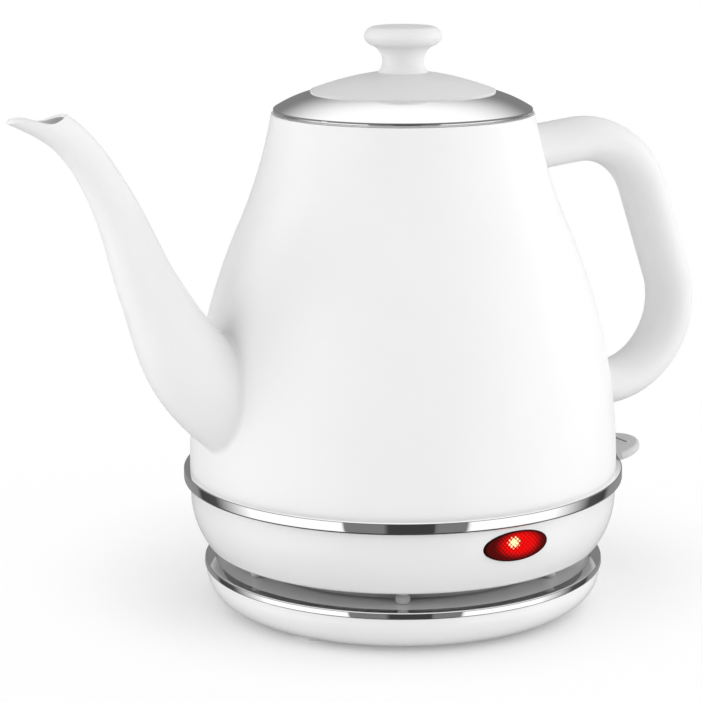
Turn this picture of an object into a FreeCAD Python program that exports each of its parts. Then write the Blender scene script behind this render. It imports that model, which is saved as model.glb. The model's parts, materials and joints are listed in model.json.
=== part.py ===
import FreeCAD, Part
import math
import os

import Sketcher
from FreeCAD import Placement, Rotation, Vector

# Cordless kettle with a gooseneck spout on its power base, in millimetres.
# Z is up, the origin is on the kettle's axis at the table, the spout points to -X.

SIZES = {
    # base
    "foot_height": 1.6,
    "foot_radius": 5.0,
    "foot_margin": 0.4,
    "foot_recess": 1.0,
    "base_height": 15.6,
    "base_inset": 5.0,
    "base_land": 0.9,
    "base_wall": 2.2,
    "base_plate": 2.0,
    "trim_depth": 2.5,
    "trim_drop": 1.6,
    "trim_proud": 0.7,
    "trim_lip": 0.8,
    "trim_overhang": 0.5,
    "trim_flat": 0.42,
    # screws under the base and the kettle
    "head_radius": 3.0,
    "head_height": 1.2,
    "cover_head_radius": 2.5,
    "shank_radius": 1.2,
    "boss_radius": 4.0,
    "screw_play": 0.2,
    "fixing_head": 1.8,
    "fixing_shank": 1.0,
    # power connector
    "dome_radius": 17.0,
    "dome_height": 8.8,
    "plug_step": 2.0,
    "flange_step": 4.0,
    "pin_radius": 3.0,
    "pin_play": 0.4,
    "pin_drop": 3.2,
    "pin_grip": 5.6,
    "live_radius": 9.1,
    "neutral_radius": 13.3,
    "ring_wall": 1.0,
    "ring_grip": 3.0,
    "slot_width": 2.2,
    "slot_sink": 1.0,
    "contact_radius": 0.9,
    "contact_rise": 1.4,
    "contact_tail": 7.6,
    "socket_play": 0.6,
    "socket_headroom": 1.0,
    "lead_radius": 0.8,
    "lead_bend": 6.0,
    "lead_pitch": 1.9,
    "lead_stop": 1.5,
    # cord gland
    "gland_radius": 4.0,
    "gland_bore": 3.0,
    "gland_lift": 0.1,
    "gland_depth": 3.0,
    "gland_proud": 0.7,
    "collar_step": 0.3,
    "collar_width": 2.0,
    # kettle underside and housing
    "kettle_foot": 6.2,
    "kettle_foot_radius": 2.4,
    "kettle_foot_inset": 5.8,
    "cover_screw_inset": 3.5,
    "skirt_inset": 9.7,
    "skirt_wall": 2.2,
    "skirt_lift": 0.6,
    "housing_height": 22.1,
    "housing_inset": 0.2,
    "housing_curve": 28.0,
    "housing_side": 5.9,
    "housing_toe": 4.7,
    "housing_sole": 3.0,
    "housing_wall": 2.2,
    "cover_inset": 10.7,
    "cover_thick": 2.2,
    "ledge_width": 8.0,
    # body
    "waist_band": 4.2,
    "waist_proud": 2.1,
    "waist_crown": 0.6,
    "body_radius": 72.9,
    "body_height": 124.3,
    "body_wall": 1.0,
    "shoulder_inset": 17.65,
    "shoulder_height": 87.1,
    "belly_curve": 205.0,
    "neck_curve": 160.0,
    "mouth_radius": 43.9,
    "mouth_rim": 0.5,
    "mouth_width": 2.2,
    # heater
    "floor_height": 5.5,
    "floor_thick": 1.0,
    "spreader_gap": 4.5,
    "spreader_thick": 3.0,
    "element_inset": 12.0,
    "element_radius": 3.3,
    "element_tail": 8.0,
    "control_radius": 26.0,
    "control_gap": 2.6,
    "disc_radius": 8.0,
    "disc_thick": 0.4,
    "push_pin_radius": 1.0,
    "pillar_radius": 2.0,
    "pillar_inset": 3.0,
    "steam_radius": 3.5,
    "steam_bore": 2.6,
    "steam_bend": 30.0,
    "steam_lift": 1.0,
    "steam_inset": 2.0,
    # spout
    "spout_root": 17.4,
    "spout_tip": 5.3,
    "spout_wall": 1.2,
    "spout_reach": 65.6,
    "spout_rise": 129.3,
    "spout_bury": 14.9,
    # handle
    "handle_drop": 11.2,
    "handle_fall": 5.5,
    "handle_low": 20.5,
    "handle_tuck": 3.0,
    "handle_reach_top": 17.8,
    "handle_reach_low": 50.9,
    "handle_bend": 28.4,
    "handle_depth": 15.6,
    "handle_width": 19.5,
    "handle_wall": 2.4,
    "handle_bury": 8.0,
    "bracket_length": 15.0,
    # switch
    "lever_inset": 10.9,
    "lever_drop": 7.9,
    "lever_hub": 3.5,
    "lever_width": 12.0,
    "lever_pin": 1.5,
    "slot_play": 1.0,
    "slot_rise": 5.5,
    "slot_fall": 2.9,
    "paddle_gap": 6.8,
    "paddle_length": 17.6,
    "paddle_width": 25.0,
    "paddle_thick": 3.0,
    "paddle_round": 1.3,
    "paddle_neck": 4.0,
    "paddle_lift": 6.3,
    "plunger_arm": 9.0,
    "plunger_radius": 2.0,
    "plunger_lift": 0.4,
    "bracket_margin": 3.0,
    "bracket_thick": 2.0,
    "bracket_head": 1.8,
    "steam_disc_thick": 0.5,
    # indicator
    "lens_width": 24.0,
    "lens_height": 9.9,
    "lens_drop": 6.7,
    "lens_proud": 0.4,
    "lens_back": 0.2,
    "lamp_radius": 2.4,
    "lamp_depth": 7.5,
    "holder_thick": 2.0,
    # lid
    "lid_inset": 0.7,
    "lid_edge": 1.3,
    "lid_rise": 6.5,
    "lid_wall": 1.0,
    "lid_chamfer": 0.3,
    "cap_radius": 30.9,
    "cap_edge": 0.5,
    "cap_rise": 5.9,
    "cap_wall": 2.6,
    "cap_seat_width": 6.0,
    "neck_radius": 8.4,
    "knob_radius": 13.0,
    "knob_height": 15.2,
    "knob_waist": 2.4,
    "knob_crown": 3.5,
    "liner_depth": 13.6,
    "liner_gap": 0.3,
    "liner_inset": 1.5,
    "seal_depth": 6.0,
    "seal_height": 4.0,
    "screw_radius": 1.5,
    "screw_head_height": 1.6,
    # fits
    "slip": 0.05,
    "running": 0.3,
}

FULL_TURN = 360


class Dim:
    """A size that knows its value and the sheet expression that drives it."""

    def __init__(self, value, text):
        self.value = value
        self.text = text

    def __add__(self, other):
        return Dim(self.value + number(other), f"({self.text} + {text_of(other)})")

    def __sub__(self, other):
        return Dim(self.value - number(other), f"({self.text} - {text_of(other)})")

    def __mul__(self, other):
        return Dim(self.value * number(other), f"({self.text} * {text_of(other)})")

    def __truediv__(self, other):
        return Dim(self.value / number(other), f"({self.text} / {text_of(other)})")

    def __neg__(self):
        return Dim(-self.value, f"(-1 * {self.text})")

    __radd__ = __add__
    __rmul__ = __mul__


def number(size):
    return size.value if isinstance(size, Dim) else size


def text_of(size):
    return size.text if isinstance(size, Dim) else f"({size!r})"


def slant(across, up):
    """The straight distance of two sizes at a right angle."""
    return Dim(math.hypot(across.value, up.value), f"sqrt({across.text} ^ 2 + {up.text} ^ 2)")


class Sheet:
    """The spreadsheet of sizes: driving ones as numbers, worked-out ones as formulas."""

    def __init__(self, doc):
        self.table = doc.addObject("Spreadsheet::Sheet", "Sizes")
        self.row = 0
        for alias, value in SIZES.items():
            self.add(alias, str(value), value)

    def add(self, alias, content, value):
        self.row += 1
        self.table.set(f"A{self.row}", alias)
        self.table.set(f"B{self.row}", content)
        self.table.setAlias(f"B{self.row}", alias)
        setattr(self, alias, Dim(value, f"Sizes.{alias}"))

    def derive(self, alias, size):
        self.add(alias, "=" + size.text.replace("Sizes.", ""), size.value)
        return getattr(self, alias)


doc = FreeCAD.newDocument("kettle")
S = Sheet(doc)
NODES = []

# Heights above the table that several pieces share
base_floor = S.base_height
housing_low = S.derive("housing_low", base_floor + S.kettle_foot)
waist = S.derive("waist", housing_low + S.housing_height)
waist_top = S.derive("waist_top", waist + S.waist_band)
shoulder = S.derive("shoulder", waist + S.shoulder_height)
body_top = S.derive("body_top", waist + S.body_height)
mouth_top = S.derive("mouth_top", body_top + S.mouth_rim)
floor_low = S.derive("floor_low", waist + S.floor_height)
spreader_low = S.derive("spreader_low", floor_low - S.spreader_thick)
pivot_height = S.derive("pivot_height", waist - S.lever_drop)
cap_seat = S.derive("cap_seat", mouth_top + S.lid_rise)
knob_seat = S.derive("knob_seat", cap_seat + S.cap_edge + S.cap_rise)

# Radii that follow the body
base_radius = S.derive("base_radius", S.body_radius - S.base_inset)
base_corner = S.derive("base_corner", S.base_height - S.foot_height - S.trim_drop - S.base_land)
base_rim = S.derive("base_rim", base_radius - base_corner)
foot_circle = S.derive("foot_circle", base_rim - S.foot_radius - S.foot_margin)
housing_radius = S.derive("housing_radius", S.body_radius - S.housing_inset)
cover_radius = S.derive("cover_radius", housing_radius - S.cover_inset)
kettle_foot_circle = S.derive("kettle_foot_circle", cover_radius - S.kettle_foot_inset)
cover_screw_circle = S.derive("cover_screw_circle", cover_radius - S.cover_screw_inset)
skirt_radius = S.derive("skirt_radius", cover_radius - S.skirt_inset)
waist_radius = S.derive("waist_radius", S.body_radius + S.waist_proud)
shoulder_radius = S.derive("shoulder_radius", S.body_radius - S.shoulder_inset)
lever_pivot = S.derive("lever_pivot", S.body_radius - S.lever_inset)
spreader_radius = S.derive("spreader_radius", lever_pivot - S.steam_radius - S.spreader_gap)
element_circle = S.derive("element_circle", spreader_radius - S.element_inset)
plug_radius = S.derive("plug_radius", S.dome_radius + S.plug_step)
flange_radius = S.derive("flange_radius", plug_radius + S.flange_step)
lid_radius = S.derive("lid_radius", S.mouth_radius - S.lid_inset)
contact_tip = S.derive("contact_tip", base_floor + S.contact_rise)
contact_end = S.derive("contact_end", base_floor - S.contact_tail)
pin_end = S.derive("pin_end", base_floor - S.pin_drop)
lens_centre = S.derive("lens_centre", waist - S.lens_drop)
doc.recompute()


def node(piece):
    """Keep a finished piece for export under its own label."""
    NODES.append(piece)
    return piece


def bind(piece, prop, size):
    setattr(piece, prop, number(size))
    if isinstance(size, Dim):
        piece.setExpression(prop, size.text)


def place(piece, base, turn=None):
    spot = Vector(*[number(value) for value in base])
    piece.Placement = Placement(spot, turn or Rotation())
    for axis, value in zip("xyz", base):
        if isinstance(value, Dim):
            piece.setExpression(f".Placement.Base.{axis}", value.text)


TURN_TO = {
    "x": Rotation(Vector(0, 1, 0), 90),
    "y": Rotation(Vector(1, 0, 0), -90),
    "z": Rotation(),
}


def cylinder(name, radius, height, base=(0, 0, 0), axis="z"):
    piece = doc.addObject("Part::Cylinder", name)
    bind(piece, "Radius", radius)
    bind(piece, "Height", height)
    place(piece, base, TURN_TO[axis])
    return piece


def box(name, length, width, height, base):
    """A block centred on Y."""
    piece = doc.addObject("Part::Box", name)
    bind(piece, "Length", length)
    bind(piece, "Width", width)
    bind(piece, "Height", height)
    place(piece, (base[0], width * -0.5 + base[1], base[2]))
    return piece


def fuse(name, *pieces):
    piece = doc.addObject("Part::MultiFuse", name)
    piece.Shapes = list(pieces)
    return piece


def cut(name, base, *tools):
    piece = doc.addObject("Part::Cut", name)
    piece.Base = base
    piece.Tool = tools[0] if len(tools) == 1 else fuse(name + "_tools", *tools)
    return piece


def common(name, first, second):
    piece = doc.addObject("Part::MultiCommon", name)
    piece.Shapes = [first, second]
    return piece


def group(name, pieces):
    piece = doc.addObject("Part::Compound", name)
    piece.Links = list(pieces)
    return piece


def solid(name, shape):
    piece = doc.addObject("Part::Feature", name)
    piece.Shape = shape
    piece.Placement = Placement()
    return piece


def polar(radius, degrees):
    angle = math.radians(degrees)
    return radius * round(math.cos(angle), 9), radius * round(math.sin(angle), 9)


def arc_between(start, stop, radius):
    """An arc from start to stop: a positive radius turns left, a negative one turns right."""
    chord = stop - start
    side = 1 if radius > 0 else -1
    reach = math.sqrt(max(radius * radius - chord.Length ** 2 / 4, 0))
    centre = (start + stop) * 0.5 + Vector(-chord.y, chord.x, 0).normalize() * reach * side
    first, last = (start, stop) if side > 0 else (stop, start)
    angles = [math.atan2(point.y - centre.y, point.x - centre.x) for point in (first, last)]
    return Part.ArcOfCircle(Part.Circle(centre, Vector(0, 0, 1), abs(radius)), *angles)


def hold(sketch, kind, axis, index, end, size):
    """Fix one coordinate of a corner to the sheet."""
    value = number(size)
    if abs(value) < 1e-9:
        sketch.addConstraint(Sketcher.Constraint("PointOnObject", index, end, axis))
        return
    ends = (-1, 1, index, end) if value > 0 else (index, end, -1, 1)
    spot = sketch.addConstraint(Sketcher.Constraint(kind, *ends, abs(value)))
    if isinstance(size, Dim):
        driver = size if value > 0 else -size
        sketch.setExpression(f"Constraints[{spot}]", driver.text)


def outline_sketch(body, name, plane, corners):
    """A closed outline: a corner is (across, up), with a radius if an arc leaves it."""
    sketch = body.newObject("Sketcher::SketchObject", name)
    support = [item for item in body.Origin.OriginFeatures if item.Role == plane][0]
    sketch.AttachmentSupport = (support, [""])
    sketch.MapMode = "FlatFace"
    points = [Vector(number(corner[0]), number(corner[1]), 0) for corner in corners]
    count = len(corners)
    ends = []
    for index, corner in enumerate(corners):
        start, stop = points[index], points[(index + 1) % count]
        if len(corner) == 2:
            sketch.addGeometry(Part.LineSegment(start, stop))
            ends.append((1, 2))
        else:
            sketch.addGeometry(arc_between(start, stop, number(corner[2])))
            ends.append((1, 2) if number(corner[2]) > 0 else (2, 1))
    for index, corner in enumerate(corners):
        following = (index + 1) % count
        sketch.addConstraint(
            Sketcher.Constraint("Coincident", index, ends[index][1], following, ends[following][0]))
        hold(sketch, "DistanceX", -2, index, ends[index][0], corner[0])
        hold(sketch, "DistanceY", -1, index, ends[index][0], corner[1])
        if len(corner) == 3:
            radius = corner[2] if number(corner[2]) > 0 else -corner[2]
            spot = sketch.addConstraint(Sketcher.Constraint("Radius", index, number(radius)))
            if isinstance(radius, Dim):
                sketch.setExpression(f"Constraints[{spot}]", radius.text)
    return sketch


def turned(name, corners):
    """A piece turned about the kettle's axis from a half section."""
    body = doc.addObject("PartDesign::Body", name)
    sketch = outline_sketch(body, name + "_section", "XZ_Plane", corners)
    turn = body.newObject("PartDesign::Revolution", name + "_turn")
    turn.Profile = sketch
    turn.ReferenceAxis = (sketch, ["V_Axis"])
    turn.Angle = FULL_TURN
    return body


def padded(name, plane, corners, length):
    """A plate drawn on a middle plane and thickened evenly to both sides."""
    body = doc.addObject("PartDesign::Body", name)
    sketch = outline_sketch(body, name + "_outline", plane, corners)
    pad = body.newObject("PartDesign::Pad", name + "_pad")
    pad.Profile = sketch
    pad.SideType = "Symmetric"
    bind(pad, "Length", length)
    return body


def bent_wire(points, bend):
    """Straight runs joined by tangent arcs of one radius."""
    edges = []
    start = points[0]
    for before, corner, after in zip(points, points[1:], points[2:]):
        inward = (before - corner).normalize()
        outward = (after - corner).normalize()
        half_turn = (math.pi - inward.getAngle(outward)) / 2
        first = corner + inward * bend * math.tan(half_turn)
        last = corner + outward * bend * math.tan(half_turn)
        middle = corner + (inward + outward).normalize() * bend * (1 / math.cos(half_turn) - 1)
        edges.append(Part.LineSegment(start, first).toShape())
        edges.append(Part.Arc(first, middle, last).toShape())
        start = last
    edges.append(Part.LineSegment(start, points[-1]).toShape())
    return Part.Wire(edges)


def ring_section(centre, normal, radius):
    return Part.Wire([Part.Circle(centre, normal, radius).toShape()])


def round_pipe(points, bend, radius):
    path = bent_wire(points, bend)
    section = ring_section(points[0], points[1] - points[0], radius)
    return path.makePipeShell([section], True, False)


def screws(name, spots, head_low, head_radius, head_height, shank_radius, shank_length):
    """Upright screws with the head below, one at each spot."""
    pieces = []
    for index, (across, along) in enumerate(spots):
        head = cylinder(f"{name}_head_{index}", head_radius, head_height, (across, along, head_low))
        shank = cylinder(f"{name}_shank_{index}", shank_radius, shank_length,
                         (across, along, head_low + head_height))
        pieces.append(fuse(f"{name}_{index}", head, shank))
    return node(group(name, pieces))


def drill(name, spots, radius, low, depth):
    """Upright holes, ready to be cut away."""
    return [cylinder(f"{name}_{index}", radius, depth, (across, along, low))
            for index, (across, along) in enumerate(spots)]


FOOT_ANGLES = (86, 206, 326)
SCREW_ANGLES = (26, 146, 266)
FIXING_ANGLES = (90, 270)
DISC_ANGLES = (0, 180)
KETTLE_FOOT_ANGLES = range(0, FULL_TURN, 60)
PILOT_SHARE = 0.8
THREAD_SHARE = 0.7


def build_base():
    """Tray, trim ring, bottom plate, feet, screws and cord gland."""
    low = S.foot_height
    seat = S.derive("trim_seat", base_floor - S.trim_drop)
    step = S.derive("trim_step", base_radius - S.trim_depth)
    floor_under = S.derive("base_floor_under", base_floor - S.base_wall)
    inner = S.derive("base_inner", step - S.base_wall)
    plate_top = S.derive("plate_top", low + S.base_plate)
    gland_height = S.derive("gland_height", plate_top + S.gland_radius + S.collar_step + S.gland_lift)
    blank = turned("base_tray_blank", [
        (base_rim, low, base_corner),
        (base_radius, low + base_corner),
        (base_radius, seat),
        (step, seat),
        (step, base_floor),
        (plug_radius, base_floor),
        (plug_radius, floor_under),
        (inner, floor_under),
        (inner, low + base_corner, -base_corner),
        (base_rim, low + S.base_wall),
    ])
    screw_spots = [polar(foot_circle, angle) for angle in SCREW_ANGLES]
    boss_height = floor_under - plate_top
    bosses = drill("base_boss", screw_spots, S.boss_radius, plate_top, boss_height)
    pilots = drill("base_pilot", screw_spots, S.slip + S.shank_radius, plate_top,
                   boss_height * PILOT_SHARE)
    gland_hole = cylinder("gland_hole", S.gland_radius, base_radius,
                          (base_radius * 0.5, 0, gland_height), "x")
    node(cut("base_tray", fuse("base_tray_bossed", blank, *bosses), gland_hole, *pilots))
    trim_round = slant(S.trim_depth + S.trim_overhang - S.trim_lip, S.trim_drop + S.trim_proud) * 0.5
    node(turned("base_trim_ring", [
        (step + S.slip, seat),
        (base_radius + S.trim_overhang, seat, trim_round + trim_round * S.trim_flat),
        (step + S.trim_lip, base_floor + S.trim_proud),
        (step - S.trim_lip, base_floor + S.trim_proud),
        (step - S.trim_lip, base_floor),
        (step + S.slip, base_floor),
    ]))
    plate = cylinder("base_plate_blank", base_rim - S.slip, S.base_plate, (0, 0, low))
    foot_spots = [polar(foot_circle, angle) for angle in FOOT_ANGLES]
    head_height = S.foot_recess + S.screw_play
    recesses = drill("foot_recess", foot_spots, S.foot_radius + S.slip, low, S.foot_recess)
    bores = drill("base_screw_bore", screw_spots, S.shank_radius + S.screw_play, low, S.base_plate)
    sinks = drill("base_screw_sink", screw_spots, S.head_radius + S.screw_play, low, head_height)
    node(cut("base_plate", plate, *recesses, *bores, *sinks))
    feet = drill("base_foot", foot_spots, S.foot_radius, 0, S.foot_height + S.foot_recess)
    node(group("base_feet", feet))
    screws("base_screws", screw_spots, low, S.head_radius, head_height, S.shank_radius,
           boss_height * THREAD_SHARE)
    sleeve_start = S.derive("sleeve_start", base_rim - S.gland_depth)
    collar_start = S.derive("collar_start", sleeve_start - S.collar_width * 0.5)
    sleeve = cylinder("gland_sleeve", S.gland_radius - S.slip, base_radius + S.gland_proud - sleeve_start,
                      (sleeve_start, 0, gland_height), "x")
    collar = cylinder("gland_collar", S.gland_radius + S.collar_step, S.collar_width,
                      (collar_start, 0, gland_height), "x")
    bore = cylinder("gland_bore_tool", S.gland_bore, base_radius,
                    (base_radius * 0.5, 0, gland_height), "x")
    node(cut("cord_gland", fuse("cord_gland_blank", sleeve, collar), bore))


def build_connector():
    """The round connector of the base, its three contacts, its screws and the leads."""
    low = S.derive("flange_low", base_floor - S.base_wall * 2)
    floor_under = S.base_floor_under
    top = S.derive("dome_top", base_floor + S.dome_height)
    slot_floor = S.derive("slot_floor", contact_tip - S.slot_sink)
    half_slot = S.slot_width * 0.5
    pin_hole = S.pin_radius + S.pin_play
    blank = turned("base_connector_blank", [
        (pin_hole, low),
        (flange_radius, low),
        (flange_radius, floor_under),
        (plug_radius - S.slip, floor_under),
        (plug_radius - S.slip, base_floor),
        (S.dome_radius, base_floor),
        (S.dome_radius, top),
        (S.neutral_radius + half_slot, top),
        (S.neutral_radius + half_slot, slot_floor),
        (S.neutral_radius - half_slot, slot_floor),
        (S.neutral_radius - half_slot, top),
        (S.live_radius + half_slot, top),
        (S.live_radius + half_slot, slot_floor),
        (S.live_radius - half_slot, slot_floor),
        (S.live_radius - half_slot, top),
        (pin_hole, top),
    ])
    contact_spots = [(0, S.live_radius), (0, -S.neutral_radius)]
    holes = drill("contact_hole", contact_spots, S.contact_radius + S.slip, low, slot_floor - low)
    fixing_circle = (plug_radius + flange_radius) * 0.5
    fixing_spots = [polar(fixing_circle, angle) for angle in FIXING_ANGLES]
    fixings = drill("connector_bore", fixing_spots, S.fixing_shank + S.slip, low, S.base_wall)
    node(cut("base_connector", blank, *holes, *fixings))
    for name, spot in zip(("live_contact", "neutral_contact"), contact_spots):
        node(cylinder(name, S.contact_radius, contact_tip - contact_end, (*spot, contact_end)))
    cup = cylinder("earth_contact_cup", pin_hole - S.slip, pin_end - low, (0, 0, low))
    tail = cylinder("earth_contact_tail", S.contact_radius, low - contact_end, (0, 0, contact_end))
    node(fuse("earth_contact", cup, tail))
    screws("connector_screws", fixing_spots, low - S.fixing_shank, S.fixing_head, S.fixing_shank,
           S.fixing_shank, S.base_wall)
    build_leads((S.live_radius, 0.0, -S.neutral_radius))


def build_leads(sides):
    """The wires from the contacts to the gland, drawn together on the way."""
    radius = number(S.lead_radius)
    start = number(S.contact_radius + S.slip)
    stop = number(S.collar_start) - number(S.lead_stop)
    height = number(contact_end) + radius
    bend_in, bend_out = stop * 0.5, stop * 0.75
    leads = []
    for index, side in enumerate(sides):
        across = number(side)
        end = number(S.lead_pitch) * (1 - index)
        points = [Vector(start, across, height), Vector(bend_in, across, height),
                  Vector(bend_out, end, height), Vector(stop, end, height)]
        if across == end:
            points = [points[0], points[-1]]
        leads.append(solid(f"lead_{index}", round_pipe(points, number(S.lead_bend), radius)))
    node(group("base_leads", leads))


TOE_ROUND = 0.7
TOE_RISE = 0.4
INNER_TOE = 0.75


def build_underside():
    """Lower housing with its window and slot, bottom cover with its skirt, feet and screws."""
    side = S.derive("housing_side_low", waist - S.housing_side)
    toe = S.derive("housing_toe_radius", housing_radius - S.housing_toe)
    toe_height = S.derive("housing_toe_height", housing_low + S.housing_toe * TOE_RISE)
    lip = S.derive("housing_lip", cover_radius + S.screw_play)
    seat = S.derive("cover_seat", housing_low + S.cover_thick)
    ledge = S.derive("ledge_top", seat + S.housing_wall)
    inner = S.derive("housing_inner", housing_radius - S.housing_wall)
    blank = turned("lower_housing_blank", [
        (lip, housing_low),
        (lip + S.housing_sole, housing_low, S.housing_toe * TOE_ROUND),
        (toe, toe_height, S.housing_curve),
        (housing_radius, side),
        (housing_radius, waist),
        (inner, waist),
        (inner, side, -S.housing_curve),
        (inner - S.housing_toe * INNER_TOE, ledge),
        (lip - S.ledge_width, ledge),
        (lip - S.ledge_width, seat),
        (lip, seat),
    ])
    window = lens_prism("lens_window", S.lens_width + S.slip * 2, S.lens_height + S.slip * 2)
    slot = box("lever_slot", housing_radius, S.lever_width + S.slot_play * 2, S.slot_rise + S.slot_fall,
               (lever_pivot + S.bracket_margin, 0, pivot_height - S.slot_fall))
    screw_spots = [polar(cover_screw_circle, angle) for angle in SCREW_ANGLES]
    pilots = drill("housing_pilot", screw_spots, S.shank_radius + S.slip, seat, S.housing_wall)
    relief = cylinder("plunger_relief", S.plunger_radius + S.running, S.housing_wall,
                      (lever_pivot - S.plunger_arm, 0, seat))
    node(cut("lower_housing", blank, window, slot, relief, *pilots))
    disc = cylinder("bottom_cover_disc", cover_radius, S.cover_thick, (0, 0, housing_low))
    skirt_low = base_floor + S.skirt_lift
    skirt = cut("bottom_cover_skirt",
                cylinder("skirt_outside", skirt_radius, housing_low - skirt_low, (0, 0, skirt_low)),
                cylinder("skirt_inside", skirt_radius - S.skirt_wall, housing_low - skirt_low,
                         (0, 0, skirt_low)))
    cover = fuse("bottom_cover_blank", disc, skirt)
    hole = cylinder("cover_hole", flange_radius, S.cover_thick, (0, 0, housing_low))
    foot_spots = [polar(kettle_foot_circle, angle) for angle in KETTLE_FOOT_ANGLES]
    stubs = drill("kettle_foot_hole", foot_spots, S.shank_radius + S.slip, housing_low, S.cover_thick)
    bores = drill("cover_screw_bore", screw_spots, S.shank_radius + S.screw_play, housing_low,
                  S.cover_thick)
    sinks = drill("cover_screw_sink", screw_spots, S.cover_head_radius + S.screw_play, housing_low,
                  S.head_height)
    node(cut("bottom_cover", cover, hole, *stubs, *bores, *sinks))
    feet = []
    for index, (across, along) in enumerate(foot_spots):
        pad = cylinder(f"kettle_foot_pad_{index}", S.kettle_foot_radius, S.kettle_foot,
                       (across, along, base_floor))
        stub = cylinder(f"kettle_foot_stub_{index}", S.shank_radius, S.cover_thick,
                        (across, along, housing_low))
        feet.append(fuse(f"kettle_foot_{index}", pad, stub))
    node(group("kettle_feet", feet))
    screws("cover_screws", screw_spots, housing_low, S.cover_head_radius, S.head_height, S.shank_radius,
           S.cover_thick)


def lens_prism(name, width, height):
    """An oval bar along Y, through the front wall of the housing."""
    oval = doc.addObject("Part::Ellipse", name + "_oval")
    bind(oval, "MajorRadius", width * 0.5)
    bind(oval, "MinorRadius", height * 0.5)
    place(oval, (0, housing_radius * -1.1, lens_centre), TURN_TO["y"])
    bar = doc.addObject("Part::Extrusion", name)
    bar.Base = oval
    bar.DirMode = "Custom"
    bar.Dir = Vector(0, 1, 0)
    bind(bar, "LengthFwd", housing_radius * 0.5)
    bar.Solid = True
    return bar


HOLDER_WIDTH = 0.8
HOLDER_HEIGHT = 0.5


def build_indicator():
    """Lens, lamp and lamp holder behind the window of the housing."""
    back_radius = S.housing_inner - S.lens_back
    face = cylinder("lens_face_outer", housing_radius + S.lens_proud, S.housing_height,
                    (0, 0, housing_low))
    back = cylinder("lens_face_inner", back_radius, S.housing_height, (0, 0, housing_low))
    bar = lens_prism("lens_bar", S.lens_width, S.lens_height)
    node(common("indicator_lens", bar, cut("lens_band", face, back)))
    depth = S.housing_inner - S.lamp_depth
    width = S.lens_width * HOLDER_WIDTH
    height = S.lens_height * HOLDER_HEIGHT
    low = lens_centre - height * 0.5
    thick = S.holder_thick
    plate = box("lamp_holder_plate", width, thick, height, (width * -0.5, -depth, low))
    arms = [box(f"lamp_holder_arm_{index}", thick, S.lens_height, height,
                ((width * side - thick) * 0.5, -depth - S.lens_height * 0.5, low))
            for index, side in enumerate((-1, 1))]
    room = cylinder("lamp_holder_room", back_radius - S.running, S.housing_height, (0, 0, housing_low))
    node(common("lamp_holder", fuse("lamp_holder_blank", plate, *arms), room))
    length = width - thick - S.slip * 2
    node(cylinder("indicator_lamp", S.lamp_radius, length,
                  (length * -0.5, -depth - thick * 0.5 - S.lamp_radius, lens_centre), "x"))


RIM_ROUND = 0.507


def build_body():
    """Waist ring, painted body with its holes, mouth rim and the spout and handle on it."""
    node(turned("waist_ring", [
        (S.body_radius + S.slip, waist),
        (waist_radius - S.waist_crown, waist, S.waist_crown),
        (waist_radius, waist + S.waist_crown),
        (waist_radius, waist_top - S.waist_crown, S.waist_crown),
        (waist_radius - S.waist_crown, waist_top),
        (S.body_radius + S.slip, waist_top),
    ]))
    side = [
        (S.body_radius, waist),
        (S.body_radius, waist_top, S.belly_curve),
        (shoulder_radius, shoulder, -S.neck_curve),
        (S.mouth_radius, body_top),
    ]
    wall = S.body_wall
    core = turned("body_core", [(0, waist), *side, (0, body_top)])
    shell = turned("body_blank", [
        *side,
        (S.mouth_radius - wall, body_top, S.neck_curve + wall),
        (shoulder_radius - wall, shoulder, -(S.belly_curve - wall)),
        (S.body_radius - wall, waist_top),
        (S.body_radius - wall, waist),
    ])
    outer = solid("spout_outside", spout_solid(0.0))
    passage = solid("spout_passage", spout_solid(number(S.spout_wall)))
    node(cut("body_shell", shell, passage))
    node(cut("spout", outer, passage, core, solid("spout_mouth_cut", mouth_cut())))
    rim = lid_radius - S.mouth_rim * 0.5
    node(turned("mouth_ring", [
        (S.mouth_radius - S.mouth_width, body_top),
        (rim, body_top, S.mouth_rim * RIM_ROUND),
        (rim, mouth_top),
        (S.mouth_radius - S.mouth_width, mouth_top),
    ]))
    build_handle(core)


# Along the spout: shares of its reach and its rise, and how far it has tapered to its tip
SPOUT_LINE = (
    (0.0, 0.2173, 0.0),
    (0.125, 0.376, 0.29),
    (0.30, 0.56, 0.58),
    (0.49, 0.79, 0.89),
    (0.705, 0.945, 1.012),
    (1.0, 1.04, 1.0),
)
SPOUT_SLOPES = (30, 20)


def spout_solid(inset):
    """The tapering tube of the spout, drawn in by an inset for its passage."""
    out = number(S.body_radius)
    up = number(waist)
    root = number(S.spout_root)
    tip = number(S.spout_tip)
    reach = number(S.spout_reach)
    rise = number(S.spout_rise)
    points = [Vector(-out - across * reach, 0, up + height * rise) for across, height, taper in SPOUT_LINE]
    points[0].x = -out + number(S.spout_bury)
    line = Part.BSplineCurve()
    slopes = [Vector(-math.cos(math.radians(angle)), 0, math.sin(math.radians(angle)))
              for angle in SPOUT_SLOPES]
    line.interpolate(Points=points, InitialTangent=slopes[0], FinalTangent=slopes[1])
    sections = []
    for point, (across, height, taper) in zip(points, SPOUT_LINE):
        tangent = Vector(*line.tangent(line.parameter(point))[0])
        radius = root + (tip - root) * taper
        sections.append(ring_section(point, tangent, radius - inset))
    return Part.makeLoft(sections, True, False)


# Along the lip, from the beak back: shares of the reach, and heights in tip radii
MOUTH_LINE = ((1.061, -0.17), (0.93, 0.075), (0.82, -0.15), (0.70, 0.30))


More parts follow.
